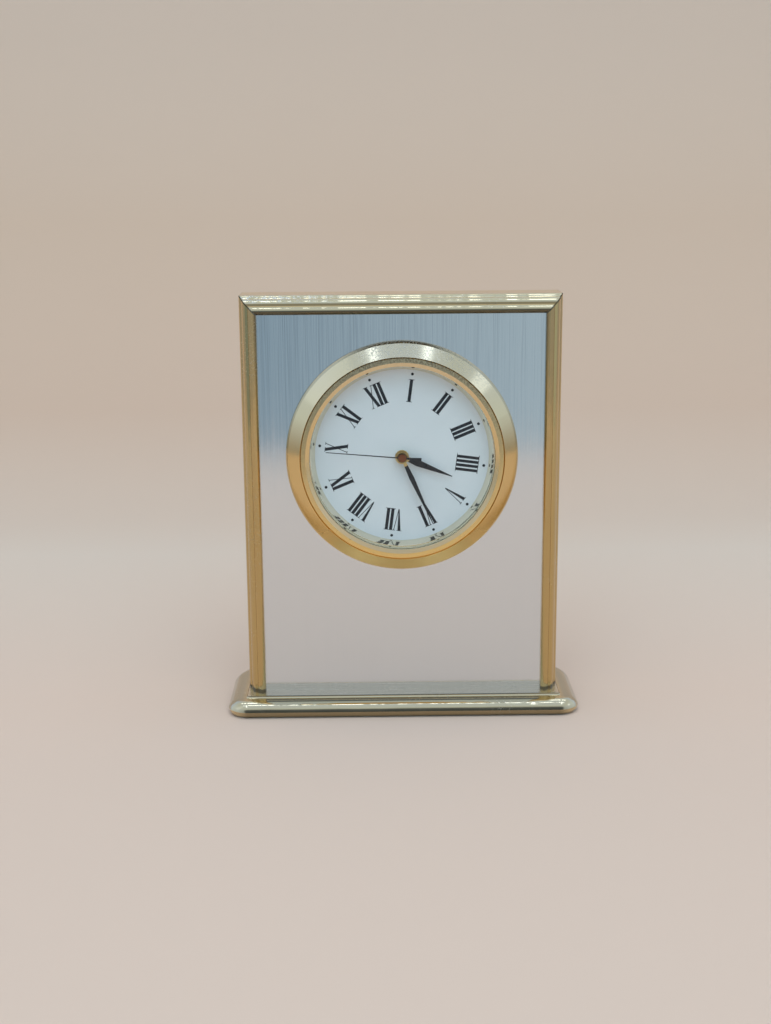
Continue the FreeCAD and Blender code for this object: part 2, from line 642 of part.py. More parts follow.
def frame_parts():
    def inlay(y0, y1):
        return block(-INLAY_HALF_W, INLAY_HALF_W, y0, y1, BASE_TOP, INLAY_TOP)
    panel = inlay(PANEL_Y, CORE_Y).cut(rod(PANEL_HOLE_R, PANEL_Y - 1, CORE_Y + 1, 0, INSERT_Z))
    core = inlay(CORE_Y, BACK_PLATE_Y).cut(rod(BORE_R, CORE_Y - 1, BACK_PLATE_Y + 1, 0, INSERT_Z))
    back = inlay(BACK_PLATE_Y, CASE_BACK_Y)
    back = back.cut(rod(PANEL_HOLE_R, BACK_PLATE_Y - 1, CASE_BACK_Y + 1, 0, INSERT_Z))
    up = Vector(0, 0, 1)
    screw_y = (CORE_Y + BACK_PLATE_Y) / 2
    reach = FELT_T + BASE_SCREW_HEAD_H + HEAD_PLAY + BASE_SCREW_L + BASE_SCREW_R * 1.6
    for x in (-BASE_SCREW_X, BASE_SCREW_X):
        core = core.cut(Part.makeCylinder(BASE_SCREW_R + SHANK_PLAY, reach + 0.5, Vector(x, screw_y, 0), up))
    screws = []
    for x in (-INLAY_HALF_W + BACK_SCREW_INSET, INLAY_HALF_W - BACK_SCREW_INSET):
        for z in (BASE_TOP + BACK_SCREW_INSET, INLAY_TOP - BACK_SCREW_INSET):
            hole = rod(BACK_SCREW_R + SHANK_PLAY, CASE_BACK_Y - BACK_SCREW_L - 0.3, CASE_BACK_Y + 1, x, z)
            sink = Part.makeCone(
                BACK_SCREW_HEAD_R + SHANK_PLAY, BACK_SCREW_R + SHANK_PLAY, BACK_SCREW_CONE_H,
                Vector(x, CASE_BACK_Y, z), Vector(0, -1, 0))
            core = core.cut(hole)
            back = back.cut(hole).cut(sink)
            screws.append(back_screw(x, z))
    return {
        "stile_left": stile(-1),
        "stile_right": stile(1),
        "top_rail": top_rail(),
        "corner_keys": Part.makeCompound([corner_key(-1), corner_key(1)]),
        "front_panel": panel,
        "core_block": core,
        "back_plate": back,
        "back_plate_screws": Part.makeCompound(screws),
    }


# ================================================================ insert: bezel, glass, dial, cup
def glazing_parts():
    seat = PANEL_Y - SEAT_GAP
    inner_crest = CREST_R - GROOVE_W
    bezel = turned([
        (BEZEL_R, seat),
        (BEZEL_R, PANEL_Y - BEZEL_EDGE_H),
        (0.25 * BEZEL_RIM_R + 0.75 * BEZEL_R, PANEL_Y - (BEZEL_EDGE_H + BEZEL_RIM_H) / 2),
        (BEZEL_RIM_R, PANEL_Y - BEZEL_RIM_H),
        (CREST_R, CREST_Y),
        (CREST_R - GROOVE_W / 2, CREST_Y + GROOVE_DEPTH),
        (inner_crest, CREST_Y),
        (BEZEL_STEP_R, CREST_Y),
        (BEZEL_LIP_R, CREST_Y + BEZEL_DISH),
        (BEZEL_LIP_R, LENS_Y),
        (BEZEL_BORE_R, LENS_Y),
        (BEZEL_BORE_R, SKIRT_Y),
        (SKIRT_R, SKIRT_Y),
        (SKIRT_R, seat),
    ])
    gasket = tube(BEZEL_BORE_R - PART_GAP, LENS_R + PART_GAP, LENS_Y + 0.1, LENS_BACK_Y)
    ring = turned([
        (BEZEL_BORE_R - PART_GAP, LENS_BACK_Y),
        (RING_TOP_R, LENS_BACK_Y),
        (RING_TOP_R, DIAL_Y - RING_CONE_H),
        (RING_TOP_R - RING_LEDGE_W, DIAL_Y - RING_CONE_H),
        (DIAL_VIEW_R, DIAL_Y),
        (BEZEL_BORE_R - PART_GAP, DIAL_Y),
    ])
    return {
        "bezel": bezel,
        "lens": rod(LENS_R, LENS_Y, LENS_BACK_Y),
        "lens_gasket": gasket,
        "reflector_ring": ring,
        "dial": tube(BEZEL_BORE_R - 0.2, DIAL_HOLE_R, DIAL_Y, DIAL_BACK_Y),
    }


def hatch_outline(play, y0, y1):
    """The bayonet hub of the battery hatch: a disc with two lugs, as a solid."""
    solid = rod(HATCH_R - 0.3 + play, y0, y1, CELL_X)
    for side in (90, 270):
        lug = rod(HATCH_LUG_R + play, y0, y1, CELL_X)
        wide = HATCH_LUG_ANGLE + 2 * math.degrees(play / HATCH_LUG_R)
        reach = 3 * HATCH_LUG_R
        x0, z0 = polar(reach, side - wide / 2)
        x1, z1 = polar(reach, side + wide / 2)
        wedge = flat_shape([(CELL_X, 0), (CELL_X + x0, z0), (CELL_X + x1, z1)], y0 - 1, y1 + 1)
        solid = joined(solid, lug.common(wedge))
    return solid


def cup_parts():
    back = CUP_BACK_Y
    ledge_y = FRONT_PLATE_BACK
    mouth_inner = FRONT_PLATE_R + PART_GAP
    ledge_r = mouth_inner - LEDGE_W
    half_band = BAND_W / 2 + RUN
    cup = turned([
        (mouth_inner, DIAL_BACK_Y),
        (CUP_MOUTH_R, DIAL_BACK_Y),
        (CUP_MOUTH_R, SKIRT_Y),
        (CUP_R, SKIRT_Y),
        (CUP_R, BAND_Y - half_band),
        (BAND_GROOVE_R, BAND_Y - half_band),
        (BAND_GROOVE_R, BAND_Y + half_band),
        (CUP_R, BAND_Y + half_band),
        (CUP_R, back - 0.8),
        (CUP_R - 0.8, back),
        (0, back),
        (0, CUP_INNER_Y),
        (CUP_INNER_R, CUP_INNER_Y),
        (CUP_INNER_R, ledge_y + LEDGE_T),
        (ledge_r, ledge_y + LEDGE_T),
        (ledge_r, ledge_y),
        (mouth_inner, ledge_y),
    ])
    # battery well, standing on a floor that a rib ties to the cup's side
    cell_back = CUP_INNER_Y - CELL_FROM_BACK
    well_top = cell_back + 0.05
    floor_back = cell_back - CELL_T - STRIP_T - 0.05
    floor_y = floor_back - WELL_FLOOR_T
    inner = CELL_R + WELL_GAP
    well = tube(inner + WELL_WALL, inner, floor_y, well_top, CELL_X)
    floor = rod(inner + WELL_WALL, floor_y, floor_back, CELL_X)
    rib = block(-CUP_INNER_R - 0.5, CELL_X - inner - WELL_WALL / 2, floor_y, well_top, -1, 1)
    cup = joined(cup, well, floor, rib)
    # slots for the two contact springs
    half = STRIP_W / 2 + 0.1
    minus_z = -CELL_R * 0.6
    cup = cup.cut(block(CELL_X, CELL_X + inner + 2, floor_back - 0.01, floor_back + STRIP_T + 0.1,
                        minus_z - half, minus_z + half))
    cup = cup.cut(block(CELL_X + CELL_R - 1, CELL_X + inner + 2, floor_back + 1.2, well_top + 1, -half, half))
    # hole for the hatch, with two notches that let its lugs in when it is turned open
    hatch_y = back - HATCH_T - HATCH_PLAY
    hole = rod(HATCH_R + HATCH_PLAY, hatch_y, back + 1, CELL_X)
    cup = cup.cut(hole).cut(rod(HATCH_R - 0.3 + HATCH_PLAY, CUP_INNER_Y - 1, back + 1, CELL_X))
    notches = hatch_outline(HATCH_PLAY * 2, CUP_INNER_Y - 0.5, back + 1)
    cup = cup.cut(turn(notches, -HATCH_OPEN_ANGLE, CELL_X))
    # hole for the setting arbor
    cup = cup.cut(rod(WORKS_ARBOR_R + RUN, CUP_INNER_Y - 1, back + 1, WORKS_X, WORKS_Z))
    # the grip band: a sleeve with raised ribs, running in the cup's groove
    sleeve_r = BORE_R - RUN - BAND_RIB_H
    band_0, band_1 = BAND_Y - BAND_W / 2, BAND_Y + BAND_W / 2
    band = tube(sleeve_r, BAND_GROOVE_R + RUN, band_0, band_1)
    pitch = BAND_W / BAND_RIBS
    ribs = []
    for i in range(BAND_RIBS):
        start = band_0 + i * pitch
        ribs.append(turned([
            (sleeve_r - 0.2, start + 0.2 * pitch),
            (sleeve_r, start + 0.2 * pitch),
            (BORE_R - RUN, start + 0.4 * pitch),
            (BORE_R - RUN, start + 0.6 * pitch),
            (sleeve_r, start + 0.8 * pitch),
            (sleeve_r - 0.2, start + 0.8 * pitch),
        ]))
    return {"insert_cup": cup, "grip_band": joined(band, *ribs)}


def hatch_part():
    back = CUP_BACK_Y
    disc = rod(HATCH_R, back - HATCH_T, back, CELL_X)
    hub = rod(HATCH_R - 0.3, CUP_INNER_Y - HATCH_PLAY - HATCH_LUG_T, back - HATCH_T, CELL_X)
    lugs = hatch_outline(0.0, CUP_INNER_Y - HATCH_PLAY - HATCH_LUG_T, CUP_INNER_Y - HATCH_PLAY)
    solid = joined(disc, hub, lugs)
    half_l, half_w = COIN_SLOT_L / 2, COIN_SLOT_W / 2
    slot = block(CELL_X - half_l, CELL_X + half_l, back - COIN_SLOT_DEPTH, back + 1, -half_w, half_w)
    return {"battery_hatch": solid.cut(slot)}


# ================================================================ insert: movement
def pivoted_arbor(radius, y0, y1, x, z):
    """A thin arbor whose ends are turned down to pivots in the plates."""
    return joined(rod(radius, y0, y1, x, z), rod(PIVOT_R, y0 - PIVOT_L, y1 + PIVOT_L, x, z))


def pillar_places():
    return [(x, z) for x in (-PILLAR_X, PILLAR_X) for z in (PILLAR_TOP_Z, PILLAR_BOTTOM_Z)]


def movement_outline(y0, y1):
    return rounded_plate(MOVEMENT_HALF_W, MOVEMENT_BOTTOM, MOVEMENT_TOP, MOVEMENT_CORNER_R, y0, y1)


def pivot_hole(x, z, y0, y1):
    return rod(PIVOT_R + RUN, y0, y1, x, z)


def plate_parts():
    front_y = DIAL_BACK_Y
    front = rod(FRONT_PLATE_R, front_y, FRONT_PLATE_BACK).cut(
        rod(HOUR_PIPE_R + RUN, front_y - 1, FRONT_PLATE_BACK + 1))
    middle = movement_outline(MID_PLATE_Y, MID_PLATE_BACK)
    bridge = movement_outline(BRIDGE_Y, BRIDGE_BACK)
    screws = []
    for x, z in pillar_places():
        shoulder = rod(PILLAR_SHOULDER_R, FRONT_PLATE_BACK - 0.5, MID_PLATE_Y, x, z)
        pillar = rod(PILLAR_R, FRONT_PLATE_BACK - 0.5, BRIDGE_Y, x, z)
        front = joined(front, shoulder, pillar)
        screw_hole = rod(PLATE_SCREW_R + SHANK_PLAY, BRIDGE_BACK - PLATE_SCREW_L - 0.2, BRIDGE_BACK + 1, x, z)
        front = front.cut(screw_hole)
        middle = middle.cut(rod(PILLAR_R + PART_GAP, MID_PLATE_Y - 1, MID_PLATE_BACK + 1, x, z))
        bridge = bridge.cut(screw_hole)
        head_back = BRIDGE_BACK + PLATE_SCREW_HEAD_H
        screw = joined(rod(PLATE_SCREW_HEAD_R, BRIDGE_BACK, head_back, x, z),
                       rod(PLATE_SCREW_R, BRIDGE_BACK - PLATE_SCREW_L, BRIDGE_BACK, x, z))
        slot = block(x - PLATE_SCREW_HEAD_R, x + PLATE_SCREW_HEAD_R, head_back - 0.25, head_back + 1,
                     z - 0.15, z + 0.15)
        screws.append(screw.cut(slot))
    # bearings
    front = front.cut(pivot_hole(THIRD_X, THIRD_Z, FRONT_PLATE_BACK - PIVOT_L - 0.1, FRONT_PLATE_BACK + 1))
    front = front.cut(pivot_hole(WORKS_X, WORKS_Z, FRONT_PLATE_BACK - PIVOT_L - 0.1, FRONT_PLATE_BACK + 1))
    middle = middle.cut(rod(ARBOR_R + RUN, MID_PLATE_Y - 1, MID_PLATE_BACK + 1))
    middle = middle.cut(rod(THIN_ARBOR_R + 0.4, MID_PLATE_Y - 1, MID_PLATE_BACK + 1, THIRD_X, THIRD_Z))
    middle = middle.cut(rod(WORKS_ARBOR_R + RUN, MID_PLATE_Y - 1, MID_PLATE_BACK + 1, WORKS_X, WORKS_Z))
    bridge = bridge.cut(rod(WORKS_ARBOR_R + RUN, BRIDGE_Y - 1, BRIDGE_BACK + 1, WORKS_X, WORKS_Z))
    for x, z in ((STEP_X, STEP_Z), (ROTOR_X, ROTOR_Z)):
        middle = middle.cut(pivot_hole(x, z, MID_PLATE_Y - 1, MID_PLATE_BACK + 1))
        bridge = bridge.cut(pivot_hole(x, z, BRIDGE_Y - 1, BRIDGE_BACK + 1))
    for x, z in ((0.0, 0.0), (THIRD_X, THIRD_Z)):
        bridge = bridge.cut(pivot_hole(x, z, BRIDGE_Y - 1, BRIDGE_BACK + 1))
    # bosses: the middle plate carries the stator, the bridge carries the board
    for side in (-1, 1):
        boss = rod(0.9, MID_PLATE_BACK - 0.2, STATOR_Y, side * STATOR_BOSS_X, ROTOR_Z)
        middle = joined(middle, boss)
        stand = rod(1.0, BRIDGE_BACK - 0.2, BRIDGE_BACK + BOARD_LIFT,
                    side * (BOARD_HALF_W - 1.3), BOARD_TOP - 4.0)
        bridge = joined(bridge, stand)
    return {
        "movement_plate": front,
        "middle_plate": middle,
        "movement_bridge": bridge,
        "bridge_screws": Part.makeCompound(screws),
    }


def motor_parts():
    y0, y1 = STATOR_Y, STATOR_BACK
    bar = block(-STATOR_HALF_W, STATOR_HALF_W, y0, y1, ROTOR_Z - STATOR_RISE, ROTOR_Z + STATOR_RISE)
    legs = [
        block(side * STATOR_HALF_W - (STATOR_LEG_W if side > 0 else 0),
              side * STATOR_HALF_W + (0 if side > 0 else STATOR_LEG_W),
              y0, y1, COIL_Z - CORE_W / 2, ROTOR_Z)
        for side in (-1, 1)
    ]
    stator = joined(bar, *legs).cut(rod(STATOR_HOLE_R, y0 - 1, y1 + 1, ROTOR_X, ROTOR_Z))
    core = block(-STATOR_HALF_W, STATOR_HALF_W, STATOR_BACK, STATOR_BACK + CORE_H,
                 COIL_Z - CORE_W / 2, COIL_Z + CORE_W / 2)
    core_y = STATOR_BACK + CORE_H / 2

    def along_x(radius, x0, x1):
        return Part.makeCylinder(radius, x1 - x0, Vector(x0, core_y, COIL_Z), Vector(1, 0, 0))
    around = block(-STATOR_HALF_W - 1, STATOR_HALF_W + 1,
                   STATOR_BACK - PART_GAP, STATOR_BACK + CORE_H + PART_GAP,
                   COIL_Z - CORE_W / 2 - PART_GAP, COIL_Z + CORE_W / 2 + PART_GAP)
    inner_r = 1.3
    bobbin = joined(along_x(inner_r, -COIL_HALF_L, COIL_HALF_L),
                    along_x(FLANGE_R, -COIL_HALF_L - FLANGE_T, -COIL_HALF_L),
                    along_x(FLANGE_R, COIL_HALF_L, COIL_HALF_L + FLANGE_T)).cut(around)
    winding = along_x(COIL_R, -COIL_HALF_L, COIL_HALF_L)
    winding = winding.cut(along_x(inner_r, -COIL_HALF_L - 1, COIL_HALF_L + 1))
    return {"stator": stator, "coil_core": core, "coil_bobbin": bobbin, "coil_winding": winding}


def electric_parts():
    cell_back = CUP_INNER_Y - CELL_FROM_BACK
    cell_y = cell_back - CELL_T
    can = rod(CELL_R, cell_y + CELL_CAP_T, cell_back, CELL_X)
    rims = [e for e in can.Edges if len(e.Vertexes) == 1]
    cell = joined(can.makeFillet(0.35, rims), rod(CELL_CAP_R, cell_y, cell_y + CELL_CAP_T, CELL_X))
    board_y = BRIDGE_BACK + BOARD_LIFT
    board_back = board_y + BOARD_T
    board = rounded_plate(BOARD_HALF_W, BOARD_BOTTOM, BOARD_TOP, 0.8, board_y, board_back)
    board = board.cut(rod(WORKS_ARBOR_R + 0.6, board_y - 1, board_back + 1, WORKS_X, WORKS_Z))
    slope_y = board_back + CHIP_H * 0.45
    slope = Part.makeCone(
        CHIP_R, CHIP_R * 0.55, CHIP_H * 0.55, Vector(CHIP_X, slope_y, CHIP_Z), Vector(0, 1, 0))
    chip = joined(rod(CHIP_R, board_back, slope_y, CHIP_X, CHIP_Z), slope)
    can_y = board_back + CRYSTAL_R
    crystal = Part.makeCylinder(
        CRYSTAL_R, CRYSTAL_L, Vector(-CRYSTAL_L / 2, can_y, BOARD_TOP - 2.0), Vector(1, 0, 0))
    # contact springs: the minus one lies under the cell, the plus one stands at its side
    half = STRIP_W / 2
    minus_z = -CELL_R * 0.6
    floor_back = cell_y - STRIP_T - 0.05
    riser_x = -MOVEMENT_HALF_W - 0.3
    board_edge = -BOARD_HALF_W + 1.5
    minus = joined(
        block(CELL_X - 2, riser_x, floor_back, floor_back + STRIP_T, minus_z - half, minus_z + half),
        block(riser_x - STRIP_T, riser_x, floor_back, board_y, minus_z - half, minus_z + half),
        block(riser_x - STRIP_T, board_edge, board_y - STRIP_T, board_y, minus_z - half, minus_z + half))
    plus_x = CELL_X + CELL_R + 0.02
    plus = joined(
        block(plus_x, plus_x + STRIP_T, floor_back + 1.8, board_back + STRIP_T, -half, half),
        block(plus_x, board_edge, board_back, board_back + STRIP_T, -half, half))
    return {
        "button_cell": cell,
        "circuit_board": board,
        "chip_cover": chip,
        "quartz_crystal": crystal,
        "minus_contact": minus,
        "plus_contact": plus,
    }


def train_parts():
    # rotor: magnet and pinion on one arbor, between the middle plate and the bridge
    low, high = MID_PLATE_BACK + 0.1, BRIDGE_Y - 0.1
    x, z = ROTOR_X, ROTOR_Z
    magnet_y = STATOR_Y + STATOR_T / 2 - MAGNET_T / 2
    magnet = tube(MAGNET_R, THIN_ARBOR_R + 0.01, magnet_y, magnet_y + MAGNET_T, x, z)
    rotor_pinion = joined(pinion(ROTOR_PINION_N, STEP_M, STEP_Y, ROTOR_PINION_PHASE, x, z),
                          pivoted_arbor(THIN_ARBOR_R, low, high, x, z))
    # step wheel
    x, z = STEP_X, STEP_Z
    step = gear(STEP_WHEEL_N, STEP_M, STEP_Y, STEP_Y + WHEEL_T, 0.0, x, z)
    step = spokes_cut(step, STEP_M * (STEP_WHEEL_N / 2 - 3.5), 1.4, STEP_Y, x, z)
    step = joined(step, pinion(STEP_PINION_N, SECONDS_M, SECONDS_Y, STEP_PINION_PHASE, x, z),
                  rod(STEP_COLLAR_R, SECONDS_Y, STEP_Y, x, z), pivoted_arbor(THIN_ARBOR_R, low, high, x, z))
    # third wheel, through the middle plate
    x, z = THIRD_X, THIRD_Z
    third_low = FRONT_PLATE_BACK + 0.1
    third = gear(THIRD_WHEEL_N, THIRD_M, THIRD_Y, THIRD_Y + WHEEL_T, 0.0, x, z)
    third = spokes_cut(third, THIRD_M * (THIRD_WHEEL_N / 2 - 4), 1.2, THIRD_Y, x, z)
    third = joined(third, pinion(THIRD_PINION_N, CENTRE_M, CENTRE_Y, THIRD_PINION_PHASE, x, z),
                   pivoted_arbor(THIN_ARBOR_R, third_low, high, x, z))
    # centre wheel on the minute tube
    hold = CANNON_R + 0.01
    centre = gear(CENTRE_WHEEL_N, CENTRE_M, CENTRE_Y, CENTRE_Y + WHEEL_T)
    centre = centre.cut(rod(hold, CENTRE_Y - 1, CENTRE_Y + 2))
    tip_y = DIAL_Y - MINUTE_HAND_UP - HUB_T / 2 - 0.1
    cannon = joined(pinion(CANNON_N, MOTION_M, WORKS_Y), rod(CANNON_R, tip_y, MID_PLATE_Y - 0.1))
    cannon = cannon.cut(rod(ARBOR_R + RUN, tip_y - 1, MID_PLATE_Y + 1))
    # seconds wheel on its arbor, which runs through the minute tube
    arbor_tip = DIAL_Y - SECOND_HAND_UP - HAND_T
    arbor = joined(rod(ARBOR_R, arbor_tip, high), rod(PIVOT_R, high - 0.5, high + PIVOT_L))
    seconds = gear(SECONDS_WHEEL_N, SECONDS_M, SECONDS_Y, SECONDS_Y + WHEEL_T)
    seconds = spokes_cut(seconds, SECONDS_M * (SECONDS_WHEEL_N / 2 - 3.2), 1.5, SECONDS_Y)
    leaves = gear(SECONDS_PINION_N, THIRD_M, THIRD_Y - PINION_EXTRA, SECONDS_Y, SECONDS_PINION_PHASE)
    seconds = joined(seconds, leaves).cut(rod(ARBOR_R + 0.01, THIRD_Y - 1, SECONDS_Y + 2))
    # motion work in front: minute works wheel with the setting arbor, and the hour wheel
    x, z = WORKS_X, WORKS_Z
    knob_y = CUP_BACK_Y + KNOB_GAP
    works = gear(WORKS_WHEEL_N, MOTION_M, WORKS_Y, WORKS_Y + WHEEL_T, WORKS_WHEEL_PHASE, x, z)
    works = spokes_cut(works, MOTION_M * (WORKS_WHEEL_N / 2 - 2.6), 2.0, WORKS_Y, x, z)
    works = joined(works, gear(WORKS_PINION_N, MOTION_M, HOUR_Y - PINION_EXTRA, WORKS_Y, 0.0, x, z),
                   rod(WORKS_ARBOR_R, FRONT_PLATE_BACK + 0.1, knob_y + KNOB_T - 0.6, x, z),
                   rod(PIVOT_R, FRONT_PLATE_BACK - PIVOT_L, FRONT_PLATE_BACK + 0.5, x, z))
    hour_tip = DIAL_Y - HOUR_HAND_UP - HUB_T / 2 - 0.1
    hour = gear(HOUR_WHEEL_N, MOTION_M, HOUR_Y, HOUR_Y + WHEEL_T, HOUR_WHEEL_PHASE)
    hour = spokes_cut(hour, MOTION_M * (HOUR_WHEEL_N / 2 - 2.6), 2.3, HOUR_Y)
    hour = joined(hour, rod(HOUR_PIPE_R, hour_tip, HOUR_Y)).cut(
        rod(CANNON_R + RUN, hour_tip - 1, HOUR_Y + 2))
    return {
        "rotor_magnet": magnet,
        "rotor_pinion": rotor_pinion,
        "step_wheel": step,
        "third_wheel": third,
        "centre_wheel": centre,
        "minute_tube": cannon,
        "seconds_arbor": arbor,
        "seconds_wheel": seconds,
        "minute_works_wheel": works,
        "hour_wheel": hour,
    }


def setting_knob():
    """A fluted knob pressed on the setting arbor behind the cup."""
    y0 = CUP_BACK_Y + KNOB_GAP
    points = []
    for i in range(KNOB_FLUTES):
        for share, radius in ((-0.3, KNOB_R), (0.3, KNOB_R), (0.5, KNOB_R - KNOB_FLUTE_DEPTH)):
            dx, dz = polar(radius, 360 / KNOB_FLUTES * (i + share))
            points.append((WORKS_X + dx, WORKS_Z + dz))
    knob = flat_shape(points, y0, y0 + KNOB_T)
    blind = rod(WORKS_ARBOR_R + 0.01, y0 - 1, y0 + KNOB_T - 0.6, WORKS_X, WORKS_Z)
    dish = Part.makeCone(
        KNOB_R * 0.62, KNOB_R * 0.56, 0.4, Vector(WORKS_X, y0 + KNOB_T, WORKS_Z), Vector(0, -1, 0))
    return {"setting_knob": knob.cut(blind).cut(dish)}


# ================================================================ hands
def pointed_hand(length, half_w, widest, waist, tip, y0, y1):
    """A long kite, narrow at the hub, widest a little way out and then a long taper."""
    return flat_shape(
        [(-waist, 0), (-half_w, widest), (-tip, length), (tip, length), (half_w, widest), (waist, 0)], y0, y1)


def hand_parts():
    def layer(up):
        return DIAL_Y - up - HAND_T / 2, DIAL_Y - up + HAND_T / 2

    def hub_on(radius, bore, up):
        return tube(radius, bore + 0.01, DIAL_Y - up - HUB_T / 2, DIAL_Y - up + HUB_T / 2)

    y0, y1 = layer(HOUR_HAND_UP)
    hour = pointed_hand(HOUR_HAND_L, HOUR_HAND_HALF_W, HOUR_HAND_WIDEST,
                        HOUR_HAND_WAIST, HOUR_HAND_TIP, y0, y1)
    hour = joined(hour, rod(HOUR_HUB_R, y0, y1)).cut(rod(HOUR_PIPE_R + 0.01, y0 - 1, y1 + 1))
    hour = joined(hour, hub_on(HOUR_HUB_R, HOUR_PIPE_R, HOUR_HAND_UP))
    y0, y1 = layer(MINUTE_HAND_UP)
    minute = pointed_hand(MINUTE_HAND_L, MINUTE_HAND_HALF_W, MINUTE_HAND_WIDEST,
                          MINUTE_HAND_WAIST, MINUTE_HAND_TIP, y0, y1)
    minute = joined(minute, rod(MINUTE_HUB_R, y0, y1)).cut(rod(CANNON_R + 0.01, y0 - 1, y1 + 1))
    minute = joined(minute, hub_on(MINUTE_HUB_R, CANNON_R, MINUTE_HAND_UP))
    y0, y1 = layer(SECOND_HAND_UP)
    needle = flat_shape(
        [(-SECOND_HAND_HALF_W, 0), (-SECOND_HAND_HALF_W * 0.6, SECOND_HAND_L),
         (SECOND_HAND_HALF_W * 0.6, SECOND_HAND_L), (SECOND_HAND_HALF_W, 0)], y0, y1)
    tail = flat_shape(
        [(-SECOND_HAND_HALF_W, 0), (-SECOND_TAIL_HALF_W, -SECOND_TAIL_L),
         (SECOND_TAIL_HALF_W, -SECOND_TAIL_L), (SECOND_HAND_HALF_W, 0)], y0, y1)
    cap = rod(SECOND_CAP_R, y0 - SECOND_CAP_RISE, y1 + SECOND_CAP_BACK)
    bore = rod(ARBOR_R + 0.01, DIAL_Y - SECOND_HAND_UP - HAND_T - 0.02, y1 + 1)
    second = joined(needle, tail, cap).cut(bore)
    return {
        "hour_hand": turn(hour, HOUR_HAND_AT),
        "minute_hand": turn(minute, MINUTE_HAND_AT),
        "second_hand": turn(second, SECOND_HAND_AT),
    }


# ================================================================ all nodes
def main():
    os.makedirs("parts", exist_ok=True)
    nodes = {**base_parts(), **frame_parts()}
    insert = {
        **glazing_parts(), **cup_parts(), **hatch_part(), **plate_parts(), **motor_parts(),
        **electric_parts(), **train_parts(), **setting_knob(), **hand_parts(),
    }
    nodes.update({name: in_case(shape) for name, shape in insert.items()})
    for name, shape in nodes.items():
        if not shape.isValid():
            raise ValueError(f"{name} is not a valid solid")
        shape.exportStep(f"parts/{name}.step")
        print(f"{name}: {len(shape.Solids)} solid(s), {shape.Volume:.1f} mm3")


main()
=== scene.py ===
"""Looks of the desk clock: finishes for every CAD node, the printed dial, studio and camera."""
import json
import math

import bpy
from mathutils import Matrix, Vector


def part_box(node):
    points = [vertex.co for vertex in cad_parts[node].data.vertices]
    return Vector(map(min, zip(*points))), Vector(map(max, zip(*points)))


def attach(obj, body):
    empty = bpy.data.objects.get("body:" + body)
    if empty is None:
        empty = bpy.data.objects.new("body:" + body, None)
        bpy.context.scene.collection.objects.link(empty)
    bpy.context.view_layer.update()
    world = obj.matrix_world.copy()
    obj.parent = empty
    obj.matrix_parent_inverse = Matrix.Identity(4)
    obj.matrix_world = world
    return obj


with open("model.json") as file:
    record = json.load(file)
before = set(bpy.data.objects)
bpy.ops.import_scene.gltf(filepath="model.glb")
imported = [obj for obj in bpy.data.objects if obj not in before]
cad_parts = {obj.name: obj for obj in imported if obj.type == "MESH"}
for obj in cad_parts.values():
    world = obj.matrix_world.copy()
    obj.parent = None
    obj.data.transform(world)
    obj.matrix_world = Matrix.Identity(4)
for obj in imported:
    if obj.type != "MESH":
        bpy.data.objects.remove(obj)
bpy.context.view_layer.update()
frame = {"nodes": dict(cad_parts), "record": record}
MM = 0.001


